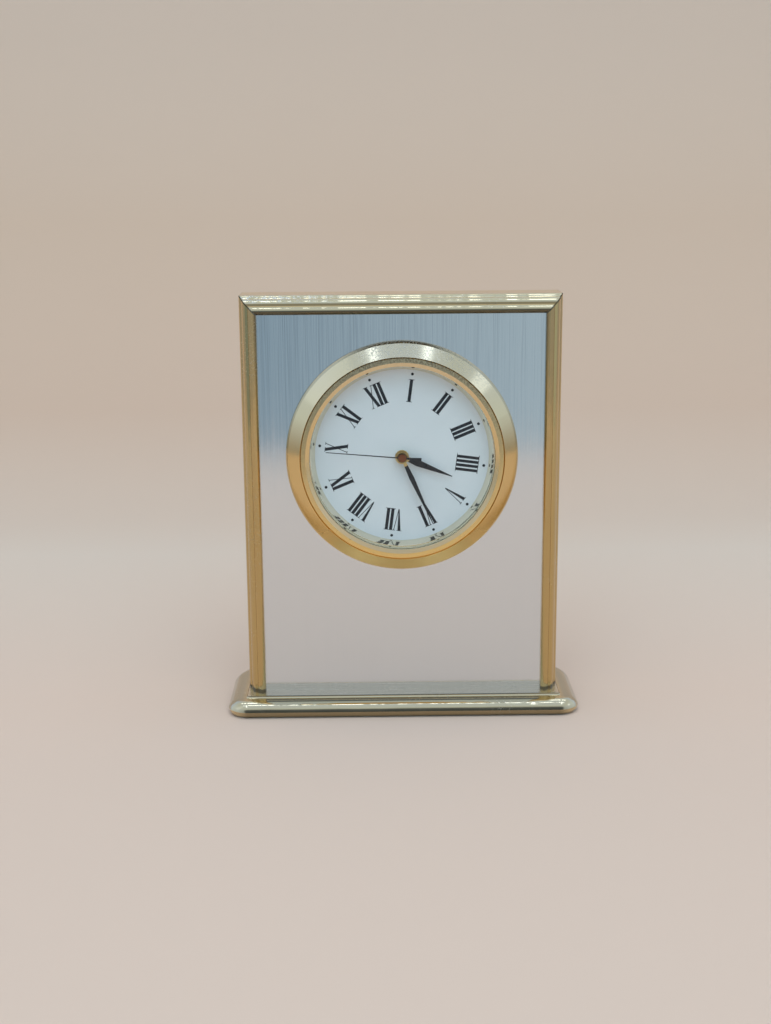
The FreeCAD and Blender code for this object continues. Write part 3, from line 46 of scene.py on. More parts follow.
# ---------------------------------------------------------------- small helpers for shader nodes
class Nodes:
    """A node tree being built: makes nodes and links them in short calls."""

    def __init__(self, tree, output):
        self.nt = tree
        self.nt.nodes.clear()
        self.out = self.nt.nodes.new(output)
        self.coord = self.nt.nodes.new("ShaderNodeTexCoord")

    def node(self, kind, **values):
        n = self.nt.nodes.new(kind)
        for key, value in values.items():
            if key.startswith("in_"):
                n.inputs[key[3:].replace("_", " ")].default_value = value
            else:
                setattr(n, key, value)
        return n

    def link(self, a, b):
        self.nt.links.new(a, b)

    def feed(self, socket, value):
        """Links a socket to another's output, or sets it to a number or a colour."""
        if isinstance(value, (int, float)):
            socket.default_value = value
        elif isinstance(value, tuple):
            socket.default_value = (*value, 1)
        else:
            self.link(value, socket)

    def place(self):
        """The shaded point's object coordinates, in metres, as the outputs X, Y and Z."""
        n = self.node("ShaderNodeSeparateXYZ")
        self.link(self.coord.outputs["Object"], n.inputs[0])
        return n.outputs

    def scaled(self, sx=1, sy=1, sz=1):
        """The object coordinates, each times a factor, as the vector of a noise."""
        m = self.node("ShaderNodeMapping")
        m.inputs["Scale"].default_value = (sx, sy, sz)
        self.link(self.coord.outputs["Object"], m.inputs["Vector"])
        return m.outputs["Vector"]

    def noise(self, vector, scale, detail=3.0, rough=0.55):
        n = self.node("ShaderNodeTexNoise")
        n.inputs["Scale"].default_value = scale
        n.inputs["Detail"].default_value = detail
        n.inputs["Roughness"].default_value = rough
        self.link(vector, n.inputs["Vector"])
        return n.outputs["Fac"]

    def ramp(self, fac, stops):
        r = self.node("ShaderNodeValToRGB")
        e = r.color_ramp.elements
        while len(e) > 1:
            e.remove(e[-1])
        e[0].position, e[0].color = stops[0][0], (*stops[0][1], 1)
        for position, colour in stops[1:]:
            e.new(position).color = (*colour, 1)
        self.link(fac, r.inputs["Fac"])
        return r.outputs["Color"]

    def math(self, op, a, b=None, clamp=False):
        m = self.node("ShaderNodeMath", operation=op, use_clamp=clamp)
        for socket, value in zip(m.inputs, (a, b)):
            if value is not None:
                self.feed(socket, value)
        return m.outputs[0]

    def plus(self, a, b):
        return self.math("ADD", a, b)

    def less(self, a, b):
        return self.math("SUBTRACT", a, b)

    def times(self, *values):
        out = values[0]
        for value in values[1:]:
            out = self.math("MULTIPLY", out, value)
        return out

    def most(self, *values):
        """The largest of several values."""
        out = values[0]
        for value in values[1:]:
            out = self.math("MAXIMUM", out, value)
        return out

    def size(self, value):
        """A value without its sign."""
        return self.math("ABSOLUTE", value)

    def span(self, fac, start, end, at_start, at_end):
        """A value that goes from at_start to at_end as fac goes from start to end."""
        m = self.node("ShaderNodeMapRange", clamp=True)
        for key, value in (("From Min", start), ("From Max", end),
                           ("To Min", at_start), ("To Max", at_end)):
            m.inputs[key].default_value = value
        self.link(fac, m.inputs["Value"])
        return m.outputs["Result"]

    def fade(self, length, limits, at_start=0.0, at_end=1.0):
        """A span over a length; the limits are its start and end in mm."""
        return self.span(length, limits[0] * MM, limits[1] * MM, at_start, at_end)

    def even(self, noise, at_start=0.0, at_end=1.0):
        """A span over the part of a noise that most points have."""
        return self.span(noise, 0.3, 0.7, at_start, at_end)

    def mix(self, fac, a, b):
        m = self.node("ShaderNodeMix", data_type="RGBA")
        for key, value in ((0, fac), (6, a), (7, b)):
            self.feed(m.inputs[key], value)
        return m.outputs[2]

    def mix_shaders(self, fac, a, b):
        m = self.node("ShaderNodeMixShader")
        for socket, output in zip(m.inputs, (fac, a.outputs[0], b.outputs[0])):
            self.link(output, socket)
        return m

    def bump(self, height, strength, depth):
        """A normal for a height map; depth is in mm."""
        b = self.node("ShaderNodeBump")
        b.inputs["Strength"].default_value = strength
        b.inputs["Distance"].default_value = depth * MM
        self.link(height, b.inputs["Height"])
        return b.outputs["Normal"]

    def principled(self, colour, rough, metallic=0.0, normal=None, **more):
        p = self.node("ShaderNodeBsdfPrincipled")
        for key, value in (("Base Color", colour), ("Roughness", rough), ("Metallic", metallic)):
            self.feed(p.inputs[key], value)
        if normal is not None:
            self.link(normal, p.inputs["Normal"])
        for key, value in more.items():
            p.inputs[key.replace("_", " ")].default_value = value
        return p

    def end_with(self, shader):
        self.link(shader.outputs[0], self.out.inputs["Surface"])


class Mat(Nodes):
    """A material being built."""

    def __init__(self, name):
        self.mat = bpy.data.materials.get(name) or bpy.data.materials.new(name)
        self.mat.use_nodes = True
        super().__init__(self.mat.node_tree, "ShaderNodeOutputMaterial")

    def finish(self, shader):
        self.end_with(shader)
        return self.mat


# ---------------------------------------------------------------- finishes
GOLD = (0.79, 0.58, 0.27)
STILE_GOLD = (0.58, 0.42, 0.185)
STILE_GOLD_HIGH_UP = (0.68, 0.51, 0.25)
RAIL_GOLD = (0.84, 0.66, 0.37)
RUBBED_GOLD = (0.80, 0.72, 0.58)
BASE_GOLD = (0.76, 0.61, 0.37)
BASE_END_SHADED_GOLD = (0.54, 0.51, 0.42)
BASE_TOP_DARK = (0.71, 0.65, 0.54)
BASE_TOP_PALE = (0.80, 0.735, 0.615)
BEZEL_PALE_GOLD = (0.80, 0.66, 0.42)
BEZEL_DEEP_GOLD = (0.96, 0.67, 0.265)
BEZEL_LIP_GOLD = (0.88, 0.67, 0.39)
RING_GOLD = (0.86, 0.78, 0.62)
ARBOR_GOLD = (0.30, 0.12, 0.07)
WORN = (0.55, 0.50, 0.40)
BEZEL_WORN = (0.50, 0.47, 0.38)
GRIME_AND_SHADE = (0.13, 0.10, 0.06)
RAIL_GRIME_AND_SHADE = (0.08, 0.08, 0.06)
RING_GRIME_AND_SHADE = (0.20, 0.18, 0.13)
PATINA_AND_DARK_REFLECTION = (0.24, 0.19, 0.11)

# where a finish changes into another, in mm: it starts to change at the first place, and has
# changed at the second. The middle of the clock is x = 0, its front is at negative y, and the
# surface that it stands on is z = 0
INSERT_Z = 79.6                       # height of the dial's axis
MITRE_RISE = 79.5                     # height less distance from the middle, along both mitres
MITRE_DIRT = (0.12, 0.4)              # half width of the dirt in a mitre
STILE_FOOT_Z = (5.75, 6.2)
STILE_RAGGED = 0.5                    # how uneven the painted shade at its foot ends
STILE_INNER_X = (43.2, 43.9)
STILE_PALER_Z, STILE_DARK_REFLECTION_Z = (60, 110), (70, 112)
RAIL_INNER_Z = (123.6, 124.0)
RAIL_GROOVE_Z, RAIL_GROOVE_HALF_W = 125.35, (0.25, 0.5)
RAIL_BEAD_Z, RAIL_BEAD_Y = (125.6, 126.4), (-4.6, -3.4)
RAIL_RUBBED_X = (-42, -10)
NOSE_LOW_Z, NOSE_RAGGED = (2.8, 3.6), 0.8
NOSE_FRONT_Y, NOSE_END_X = (-18.5, -17), (48, 51)
BASE_END_X, BASE_END_Y = (48, 50), (-17.5, -15)
BASE_FLAT_Z = (5.40, 5.48)            # where its round mouldings end and its flat top starts
BASE_EDGE_LOW_Z, BASE_EDGE_HIGH_Z = (5.12, 5.3), (5.38, 5.46)
PANEL_DEEPER_Z = (80, 110)
SLOPE_R = (30.4, 30.8)                # radii on the bezel, from the dial's axis
RING_IN_R, RING_OUT_R = (28.9, 29.2), (30.4, 30.7)
LIP_R = (28.85, 29.05)
BEZEL_WORN_Z, BEZEL_WORN_X = (97, 112), (-20, -8)
RING_SHADED_Z, LIP_SATIN_AND_SHEEN_Z = (70, 108), (62, 90)
BEZEL_PALE_Z, BEZEL_DEEP_Z, BEZEL_SATIN_Z = (80, 108), (52, 68), (50, 72)
HAND_PAINT_R = (2.3, 2.5)
MINUTE_PAINT_R, MINUTE_ARBOR_SHADE_R = (2.8, 3.0), (1.4, 1.75)
SECOND_PAINT_R = (1.2, 1.35)
NO_ARBOR_SHADE = (-0.35, 0.0)


def mottled(name, a, b, rough, scale, metallic=0.0, bump=0.1):
    """A plain finish with a fine grain in its colour, roughness and surface."""
    m = Mat(name)
    grain = m.noise(m.scaled(), scale, 4)
    return m.finish(m.principled(m.mix(m.even(grain), a, b), m.even(grain, *rough), metallic,
                                 m.bump(grain, bump, 0.04)))


def wavy_lacquer(m, base, rough, wear, wave, ripple=150, along_x=False, calm=None):
    """Colour, roughness and normal of polished brass with small worn specks in its lacquer.

    The surface ripples by wave, in mm. The ripples of a drawn moulding run across it and follow
    each other along_x. Where calm is 0 the surface is flat.
    """
    p = m.scaled()
    speck = m.span(m.noise(p, 1500, 3, 0.6), 0.56, 0.66, 0, 1)
    patch = m.span(m.noise(p, 45, 2), 0.5, 0.66, 0, 1)
    specks = m.math("MULTIPLY", speck, patch, True)
    colour = m.mix(m.times(specks, wear), base, WORN)
    haze = m.even(m.noise(p, 120, 3), rough * 0.8, rough * 1.3)
    ripples = m.noise(m.scaled(1, 0.15, 0.15) if along_x else p, ripple, 1.5, 0.5)
    if calm is not None:
        ripples = m.times(ripples, calm)
    return colour, m.plus(haze, m.times(specks, 0.2)), m.bump(ripples, 1.0, wave)


def brass_finish(name, base, rough=0.13, wear=0.35, wave=0.06):
    """Lacquered brass that is the same all over."""
    m = Mat(name)
    colour, roughness, normal = wavy_lacquer(m, base, rough, wear, wave)
    return m.finish(m.principled(colour, roughness, 1.0, normal))


def mitre_dirt(m, x, z):
    """How much dirt there is along the two mitres of the frame."""
    off = m.less(m.less(z, m.size(x)), MITRE_RISE * MM)
    return m.fade(m.size(off), MITRE_DIRT, 0.85, 0.0)


def stile_finish():
    """Brass of the uprights: paler higher up as painted light, painted shade where they stand on
    the base, a painted dark reflection at the inner edge high up, and dirt in the mitres.
    """
    m = Mat("brass_stile")
    x, _, z = m.place()
    # painted light: the brass is painted paler higher up
    base = m.mix(m.fade(z, STILE_PALER_Z), STILE_GOLD, STILE_GOLD_HIGH_UP)
    colour, rough, normal = wavy_lacquer(m, base, 0.14, 0.3, 0.03)
    # painted shade where the upright stands on the base, with a ragged top
    ragged = m.noise(m.scaled(), 700, 2)
    foot = m.fade(m.less(z, m.times(ragged, STILE_RAGGED * MM)), STILE_FOOT_Z, 0.9, 0.0)
    # a painted dark reflection along the inner edge, high up
    inner = m.times(m.fade(m.size(x), STILE_INNER_X, 1.0, 0.0),
                    m.fade(z, STILE_DARK_REFLECTION_Z, 0.0, 0.55))
    # painted shade and reflection, together with the real dirt in the mitres
    dirt_and_shade = m.most(foot, inner, mitre_dirt(m, x, z))
    return m.finish(m.principled(m.mix(dirt_and_shade, colour, GRIME_AND_SHADE), rough, 1.0, normal))


def rail_finish():
    """Brass of the top rail: rubbed pale on its bead to the left, with painted shade in its groove
    and at its inner edge, and dirt in the mitres.
    """
    m = Mat("brass_rail")
    x, y, z = m.place()
    colour, rough, normal = wavy_lacquer(m, RAIL_GOLD, 0.08, 0.3, 0.7, 110, True)
    # painted shade at the inner edge, where the rail meets the panel
    inner = m.fade(z, RAIL_INNER_Z, 0.92, 0.0)
    # painted shade in the groove between the beads
    groove = m.fade(m.size(m.less(z, RAIL_GROOVE_Z * MM)), RAIL_GROOVE_HALF_W, 0.72, 0.0)
    dirt_and_shade = m.most(inner, mitre_dirt(m, x, z), groove)
    rubbed = m.span(m.noise(m.scaled(), 1100, 3, 0.65), 0.48, 0.56, 0.0, 1.0)
    rubbed = m.times(rubbed, m.fade(x, RAIL_RUBBED_X, 0.75, 0.1), m.fade(z, RAIL_BEAD_Z),
                     m.fade(y, RAIL_BEAD_Y, 1.0, 0.0))
    colour = m.mix(rubbed, colour, RUBBED_GOLD)
    rough = m.plus(rough, m.times(rubbed, 0.25))
    return m.finish(m.principled(m.mix(dirt_and_shade, colour, RAIL_GRIME_AND_SHADE), rough, 1.0, normal))


def base_finish():
    """Brass of the base: polished mouldings round a flat top that is brushed along its length."""
    m = Mat("brass_base")
    x, y, z = m.place()
    out = m.size(x)
    # the lower half of the front nose is painted brown, partly patina and partly a painted dark
    # reflection; the ends are painted darker and greyer as painted shade
    ragged = m.plus(z, m.times(m.noise(m.scaled(0.3, 1, 1), 220, 2), NOSE_RAGGED * MM))
    patina_and_reflection = m.times(m.fade(ragged, NOSE_LOW_Z, 0.8, 0.0), m.fade(y, NOSE_FRONT_Y, 1.0, 0.0),
                     m.fade(out, NOSE_END_X, 1.0, 0.3))
    shaded_ends = m.times(m.fade(out, BASE_END_X), m.fade(y, BASE_END_Y))
    base = m.mix(patina_and_reflection, m.mix(shaded_ends, BASE_GOLD, BASE_END_SHADED_GOLD), PATINA_AND_DARK_REFLECTION)
    flat = m.fade(z, BASE_FLAT_Z)
    round_it = m.less(1.0, flat)
    colour, polished, normal = wavy_lacquer(m, base, 0.09, 0.3, 0.7, 110, True, round_it)
    lines = m.noise(m.scaled(0.03, 1, 1), 1500, 2, 0.6)
    brushed = m.even(lines, 0.21, 0.28)
    rough = m.plus(m.times(polished, round_it), m.times(brushed, flat))
    flat_colour = m.mix(m.span(lines, 0.4, 0.6, 0.0, 1.0), BASE_TOP_DARK, BASE_TOP_PALE)
    # painted shade along the step just below the flat top
    edge = m.times(m.fade(z, BASE_EDGE_LOW_Z), m.fade(z, BASE_EDGE_HIGH_Z, 1.0, 0.0), 0.6)
    colour = m.mix(edge, m.mix(flat, colour, flat_colour), GRIME_AND_SHADE)
    return m.finish(m.principled(colour, rough, 1.0, normal))


def brushed_panel():
    """Aluminium sheet with upright brush lines, deeper towards its top."""
    m = Mat("panel_brushed")
    z = m.place()["Z"]
    fine = m.noise(m.scaled(1, 1, 0.012), 2600, 2, 0.6)
    wide = m.noise(m.scaled(1, 1, 0.015), 500, 2, 0.6)
    lines = m.plus(m.times(fine, 0.6), m.times(wide, 0.4))
    deep = m.times(m.span(lines, 0.35, 0.52, 1.0, 0.0), m.fade(z, PANEL_DEEPER_Z, 0.1, 1.0))
    colour = m.mix(deep, (0.755, 0.785, 0.81), (0.64, 0.67, 0.70))
    tangent = m.node("ShaderNodeTangent", direction_type="RADIAL", axis="Z")
    p = m.principled(colour, m.span(lines, 0.35, 0.65, 0.11, 0.17), 1.0,
                     m.bump(lines, 1.0, 0.03), Anisotropic=0.75)
    m.link(tangent.outputs[0], p.inputs["Tangent"])
    return m.finish(p)


def glass_finish():
    """Flat clock glass: clear, with a reflection at the surface and a trace of smudge."""
    m = Mat("glass_clear")
    smudge = m.noise(m.scaled(), 90, 3)
    clear = m.node("ShaderNodeBsdfTransparent")
    m.feed(clear.inputs["Color"], m.mix(m.even(smudge), (0.95, 0.96, 0.96), (0.97, 0.975, 0.975)))
    shine = m.node("ShaderNodeBsdfGlossy")
    m.feed(shine.inputs["Roughness"], m.even(smudge, 0.0, 0.03))
    # only the outer side mirrors, because nothing bends the rays on their way in
    fresnel = m.node("ShaderNodeFresnel", in_IOR=1.28)
    outer = m.less(1.0, m.node("ShaderNodeNewGeometry").outputs["Backfacing"])
    return m.finish(m.mix_shaders(m.times(fresnel.outputs[0], outer), clear, shine))


def radius_from_axis(m):
    """Distance of the shaded point from the dial's axis, in metres."""
    vector = m.coord.outputs["Object"]
    for operation, by in (("SUBTRACT", (0, 0, INSERT_Z * MM)), ("MULTIPLY", (1, 0, 1))):
        n = m.node("ShaderNodeVectorMath", operation=operation)
        m.link(vector, n.inputs[0])
        n.inputs[1].default_value = by
        vector = n.outputs[0]
    length = m.node("ShaderNodeVectorMath", operation="LENGTH")
    m.link(vector, length.inputs[0])
    return length.outputs["Value"]


def hand_finish(name, hub, paint_r, arbor_shade_r=NO_ARBOR_SHADE):
    """A brass hand that is painted black beyond its hub, with painted shade round the arbor."""
    m = Mat(name)
    r = radius_from_axis(m)
    black = m.fade(r, paint_r)
    grain = m.noise(m.scaled(), 900, 3)
    paint = m.mix(m.even(grain), (0.012, 0.013, 0.016), (0.022, 0.023, 0.027))
    # painted shade round the arbor, next to the hub
    arbor_shade = m.fade(r, arbor_shade_r, 0.85, 0.0)
    colour = m.mix(black, m.mix(arbor_shade, hub, GRIME_AND_SHADE), paint)
    return m.finish(m.principled(colour, m.even(grain, 0.25, 0.4), m.less(1.0, black),
                                 m.bump(grain, 0.05, 0.02)))


def bezel_finish():
    """The bezel's brass: fine turning lines, worn and specked high up, with painted reflections
    that make it paler high up and deep gold low down.
    """
    m = Mat("bezel_brass")
    p = m.scaled()
    r = radius_from_axis(m)
    x, _, z = m.place()
    speck = m.noise(p, 1900, 3, 0.65)
    patch = m.noise(p, 90, 2)
    # wear on the sloping face, most of it at the top and to the right
    worn = m.math("MULTIPLY", m.span(speck, 0.50, 0.56, 0, 1), m.span(patch, 0.36, 0.55, 0, 1),
                  True)
    top = m.times(m.fade(z, BEZEL_WORN_Z), m.fade(x, BEZEL_WORN_X, 0.15, 1.0))
    slope = m.times(worn, top, m.fade(r, SLOPE_R))
    # grey dirt in the flat ring inside the groove, and painted shade that deepens it towards the
    # top
    ring = m.times(m.fade(r, RING_IN_R), m.fade(r, RING_OUT_R, 1.0, 0.0),
                   m.fade(z, RING_SHADED_Z, 0.0, 0.8))
    dirt_and_shade = m.times(ring, m.span(speck, 0.40, 0.56, 0.35, 1.0))
    # the slope towards the glass is satin in its lower half, and painted brighter there as a
    # painted sheen
    lip = m.times(m.fade(r, LIP_R, 1.0, 0.0), m.fade(z, LIP_SATIN_AND_SHEEN_Z, 1.0, 0.0))
    # painted reflections: paler high up, deeper gold low down
    gold = m.mix(m.fade(z, BEZEL_PALE_Z), GOLD, BEZEL_PALE_GOLD)
    gold = m.mix(m.fade(z, BEZEL_DEEP_Z, 1.0, 0.0), gold, BEZEL_DEEP_GOLD)
    # painted sheen on the lower half of the slope towards the glass
    gold = m.mix(lip, gold, BEZEL_LIP_GOLD)
    colour = m.mix(m.times(slope, 0.5), gold, BEZEL_WORN)
    colour = m.mix(dirt_and_shade, colour, RING_GRIME_AND_SHADE)
    satin = m.plus(m.fade(z, BEZEL_SATIN_Z, 0.2, 0.0), m.times(lip, 0.25))
    rough = m.plus(m.plus(m.even(m.noise(p, 160, 2), 0.11, 0.16), satin),
                   m.times(m.most(slope, dirt_and_shade), 0.25))
    lines = m.node("ShaderNodeTexNoise", noise_dimensions="1D", in_Scale=9000, in_Detail=2)
    m.link(r, lines.inputs["W"])
    return m.finish(m.principled(colour, rough, 1.0, m.bump(lines.outputs["Fac"], 0.05, 0.01)))


def dial_finish():
    """Matt white lacquer, a little uneven in tone."""
    m = Mat("dial_white")
    grain = m.noise(m.scaled(), 1500, 3)
    cloud = m.noise(m.scaled(), 30, 2)
    colour = m.mix(m.even(cloud), (0.76, 0.79, 0.81), (0.79, 0.82, 0.83))
    return m.finish(m.principled(colour, m.even(grain, 0.5, 0.65), 0.0, m.bump(grain, 0.03, 0.01)))


def felt_finish():
    """Green felt with short fibres in all directions."""
    m = Mat("felt_green")
    fibre = m.noise(m.scaled(), 2500, 5, 0.7)
    colour = m.mix(m.even(fibre), (0.012, 0.035, 0.02), (0.03, 0.07, 0.045))
    return m.finish(m.principled(colour, 0.95, 0.0, m.bump(fibre, 0.6, 0.2)))


def board_finish():
    """Wood fibre board: pale brown with fibres that lie level."""
    m = Mat("core_fibreboard")
    fibre = m.noise(m.scaled(1, 1, 3), 900, 5, 0.65)
    colour = m.mix(m.even(fibre), (0.30, 0.20, 0.11), (0.45, 0.32, 0.19))
    return m.finish(m.principled(colour, 0.85, 0.0, m.bump(fibre, 0.3, 0.1)))


# finishes by the record's material slots; a mottled one has its name, two colours, the range of its
# roughness, the scale of its grain, and then metallic and bump where they aren't 0 and 0.1
MOTTLED = {
    "back_black": ("back_paint", (0.015, 0.015, 0.017), (0.03, 0.03, 0.033), (0.45, 0.6), 1800),
    "steel": ("steel_plain", (0.50, 0.50, 0.50), (0.62, 0.62, 0.62), (0.28, 0.4), 900, 1.0),
    "gasket": ("gasket_clear", (0.55, 0.55, 0.52), (0.65, 0.65, 0.62), (0.3, 0.45), 800),
    "black_plastic": ("plastic_black", (0.014, 0.014, 0.015), (0.028, 0.028, 0.03),
                      (0.4, 0.55), 2200),
    "band_rubber": ("band_soft", (0.70, 0.70, 0.67), (0.78, 0.78, 0.75), (0.5, 0.65), 1500),
    "white_plastic": ("plastic_white", (0.70, 0.70, 0.67), (0.80, 0.80, 0.77), (0.4, 0.5), 1500),
    "wheel_plastic": ("plastic_wheel", (0.55, 0.52, 0.42), (0.66, 0.63, 0.52), (0.4, 0.5), 2500),
    "brass_plain": ("brass_cut", (0.66, 0.46, 0.18), (0.78, 0.56, 0.25), (0.22, 0.35), 1600, 1.0),
    "magnet": ("magnet_grey", (0.06, 0.06, 0.065), (0.1, 0.1, 0.11), (0.35, 0.5), 3000, 0.6),
    "copper_wire": ("copper_wound", (0.50, 0.17, 0.06), (0.68, 0.27, 0.11),
                    (0.3, 0.45), 3000, 0.8, 0.4),
    "cell_steel": ("cell_bright", (0.66, 0.66, 0.66), (0.75, 0.75, 0.75), (0.12, 0.22), 700, 1.0),
    "board_green": ("board_lacquer", (0.01, 0.09, 0.035), (0.02, 0.14, 0.06), (0.25, 0.4), 900),
    "chip_black": ("chip_drop", (0.008, 0.008, 0.008), (0.02, 0.02, 0.02), (0.15, 0.3), 900),
}
finishes = {slot: mottled(*values) for slot, values in MOTTLED.items()}
finishes.update({
    "polished_brass": brass_finish("brass_polished", GOLD),
    "bright_ring": brass_finish("ring_pale", RING_GOLD, 0.06, 0.0, 0.005),
    "brushed_panel": brushed_panel(),
    "core_board": board_finish(),
    "felt": felt_finish(),
    "glass": glass_finish(),
    "dial_white": dial_finish(),
    "hand_black": hand_finish("hand_paint", GOLD, HAND_PAINT_R),
})
stile = stile_finish()
finish_of_node = {
    "bezel": bezel_finish(),
    "stile_left": stile,
    "stile_right": stile,
    "top_rail": rail_finish(),
    "base_plinth": base_finish(),
    "minute_hand": hand_finish("minute_paint", GOLD, MINUTE_PAINT_R, MINUTE_ARBOR_SHADE_R),
    "second_hand": hand_finish("second_paint", ARBOR_GOLD, SECOND_PAINT_R),
}
slot_of = {s["node"]: s["material_slot"] for s in frame["record"]["subparts"]}
for name, node in frame["nodes"].items():
    material = finish_of_node.get(name) or finishes[slot_of[name]]
    if len(node.data.materials) == 0:
        node.data.materials.append(material)
    for i in range(len(node.data.materials)):
        node.data.materials[i] = material


# ---------------------------------------------------------------- the printed dial, in mm
DIAL_TURN = 22.5        # anticlockwise turn of the dial, degrees
DIAL_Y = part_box("dial")[0].y
PRINT_T = 0.02          # thickness of the ink
PRINT_GAP = 0.0005      # between the ink and the dial
NUMERAL_INNER = 16.6    # radii between which the numerals stand
NUMERAL_OUTER = 23.3
WIDTH = {"I": 1.31, "V": 2.5, "X": 2.65}
THICK, THICK_IN_FOUR = 0.95, 0.86
THIN = 0.2
SERIF = 0.17            # height of a serif
WIDE_SERIF, NARROW_SERIF = 0.75, 0.42    # half widths, on a thick and on a thin stroke
I_SERIF_OUT = 0.2       # how far an I's serifs stand out beyond its width
# ends of the strokes, across from the letter's middle: a V's thick and thin stroke, foot and head
V_THICK, V_THIN = (0.05, -0.72), (0.12, 0.95)
V_FOOT_W = 0.3          # the V's thick stroke is this wide at its foot
X_HALF_W, X_THIN_HALF_W = 0.9, 1.0
DOT_AT, DOT_R, DOT_CORNERS = 25.0, 0.44, 12
HOURS = ["XII", "I", "II", "III", "IIII", "V", "VI", "VII", "VIII", "IX", "X", "XI"]
print_verts, print_faces = [], []


def print_shape(corners, clock_angle):
    """Adds a flat shape; corners are (across, out) for a numeral that stands at a clock angle."""
    a = math.radians(clock_angle - DIAL_TURN)
    ca, sa = math.cos(a), math.sin(a)
    start = len(print_verts)
    for y in (DIAL_Y - PRINT_T * MM, DIAL_Y - PRINT_GAP * MM):
        for u, v in corners:
            x, z = u * ca + v * sa, v * ca - u * sa
            print_verts.append((x * MM, y, INSERT_Z * MM + z * MM))
    n = len(corners)
    print_faces.append([start + i for i in range(n)])
    print_faces.append([start + n + i for i in reversed(range(n))])
    for i in range(n):
        j = (i + 1) % n
        print_faces.append([start + i, start + n + i, start + n + j, start + j])


def stroke(angle, foot, head, width, foot_width=None):
    """A stroke of a letter from its foot to its head, both given as places across."""
    a, b = (width if foot_width is None else foot_width) / 2, width / 2
    low, high = NUMERAL_INNER, NUMERAL_OUTER
    print_shape([(foot - a, low), (foot + a, low), (head + b, high), (head - b, high)], angle)


def serif(angle, middle, v, half):
    low, high = v - SERIF / 2, v + SERIF / 2
    print_shape([(middle - half, low), (middle + half, low),
                 (middle + half, high), (middle - half, high)], angle)


def numeral(text, angle):
    """One Roman numeral, its letters side by side with their feet towards the centre."""
    low, high = NUMERAL_INNER, NUMERAL_OUTER
    thick = THICK_IN_FOUR if text == "IIII" else THICK
    u = -sum(WIDTH[letter] for letter in text) / 2
    for letter in text:
        mid = u + WIDTH[letter] / 2
        u += WIDTH[letter]
        if letter == "I":
            stroke(angle, mid, mid, thick)
            for v in (low, high):
                serif(angle, mid, v, WIDTH[letter] / 2 + I_SERIF_OUT)
        elif letter == "V":
            stroke(angle, mid + V_THICK[0], mid + V_THICK[1], thick, V_FOOT_W)
            stroke(angle, mid + V_THIN[0], mid + V_THIN[1], THIN)
            serif(angle, mid + V_THICK[1], high, WIDE_SERIF)
            serif(angle, mid + V_THIN[1], high, NARROW_SERIF)
        else:
            stroke(angle, mid + X_HALF_W, mid - X_HALF_W, thick)
            stroke(angle, mid - X_THIN_HALF_W, mid + X_THIN_HALF_W, THIN)
            serif(angle, mid - X_THIN_HALF_W, low, NARROW_SERIF)
            serif(angle, mid + X_HALF_W, low, WIDE_SERIF)
            serif(angle, mid - X_HALF_W, high, WIDE_SERIF)
            serif(angle, mid + X_THIN_HALF_W, high, NARROW_SERIF)


def dot(angle):
    turns = [2 * math.pi * i / DOT_CORNERS for i in range(DOT_CORNERS)]
    print_shape([(DOT_R * math.cos(t), DOT_AT + DOT_R * math.sin(t)) for t in turns], angle)


for hour, text in enumerate(HOURS):
    numeral(text, 30 * hour)
    dot(30 * hour)
mesh = bpy.data.meshes.new("dial_print")
mesh.from_pydata(print_verts, [], print_faces)
mesh.validate()
mesh.materials.append(mottled("ink_black", (0.010, 0.012, 0.018), (0.02, 0.023, 0.03),
                              (0.45, 0.6), 2500))
dial_print = bpy.data.objects.new("dial_print", mesh)
bpy.context.scene.collection.objects.link(dial_print)
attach(dial_print, "insert")


# ---------------------------------------------------------------- studio
SIDE, NEAR_END, HEIGHT = 2.5, -2.5, 2.2    # half width, front end and top of the paper, metres
SWEEP_Y, SWEEP_R, SWEEP_STEPS = 0.24, 0.26, 24    # where its bend starts, and the bend's radius
# the paper's colour along its length: pale, with painted shade that makes it darker and browner in
# the bend behind the clock
PAPER = [(0.0, (0.685, 0.545, 0.465)), (0.18, (0.67, 0.585, 0.515)), (0.40, (0.595, 0.445, 0.35)),
         (0.60, (0.60, 0.45, 0.345)), (0.78, (0.665, 0.54, 0.45))]
PAPER_CLOUD = (0.66, 0.55, 0.47)
# mirrors see the paper end in front, at both sides and at its top
PAPER_FRONT = [(-0.457, 1.0), (-0.445, 0.62), (-0.425, 0.40), (-0.40, 0.2), (-0.373, 0.06),
               (-0.34, 0.0)]
PAPER_HALF_W, PAPER_TOP = (0.55, 0.65), (0.40, 0.44)


def sweep():
    """Paper laid flat under the clock and swept up behind it."""
    profile = [(NEAR_END, 0.0), (-0.45, 0.0), (0.0, 0.0), (SWEEP_Y, 0.0)]
    for i in range(1, SWEEP_STEPS + 1):
        a = math.radians(90 * i / SWEEP_STEPS)
        profile.append((SWEEP_Y + SWEEP_R * math.sin(a), SWEEP_R * (1 - math.cos(a))))
    profile.append((SWEEP_Y + SWEEP_R, HEIGHT))
    verts = [(x, y, z) for y, z in profile for x in (-SIDE, SIDE)]
    faces = [(2 * i, 2 * i + 1, 2 * i + 3, 2 * i + 2) for i in range(len(profile) - 1)]
    me = bpy.data.meshes.new("sweep")
    me.from_pydata(verts, [], faces)
    for poly in me.polygons:
        poly.use_smooth = True
    me.materials.append(paper_finish())
    ob = bpy.data.objects.new("sweep", me)
    bpy.context.scene.collection.objects.link(ob)


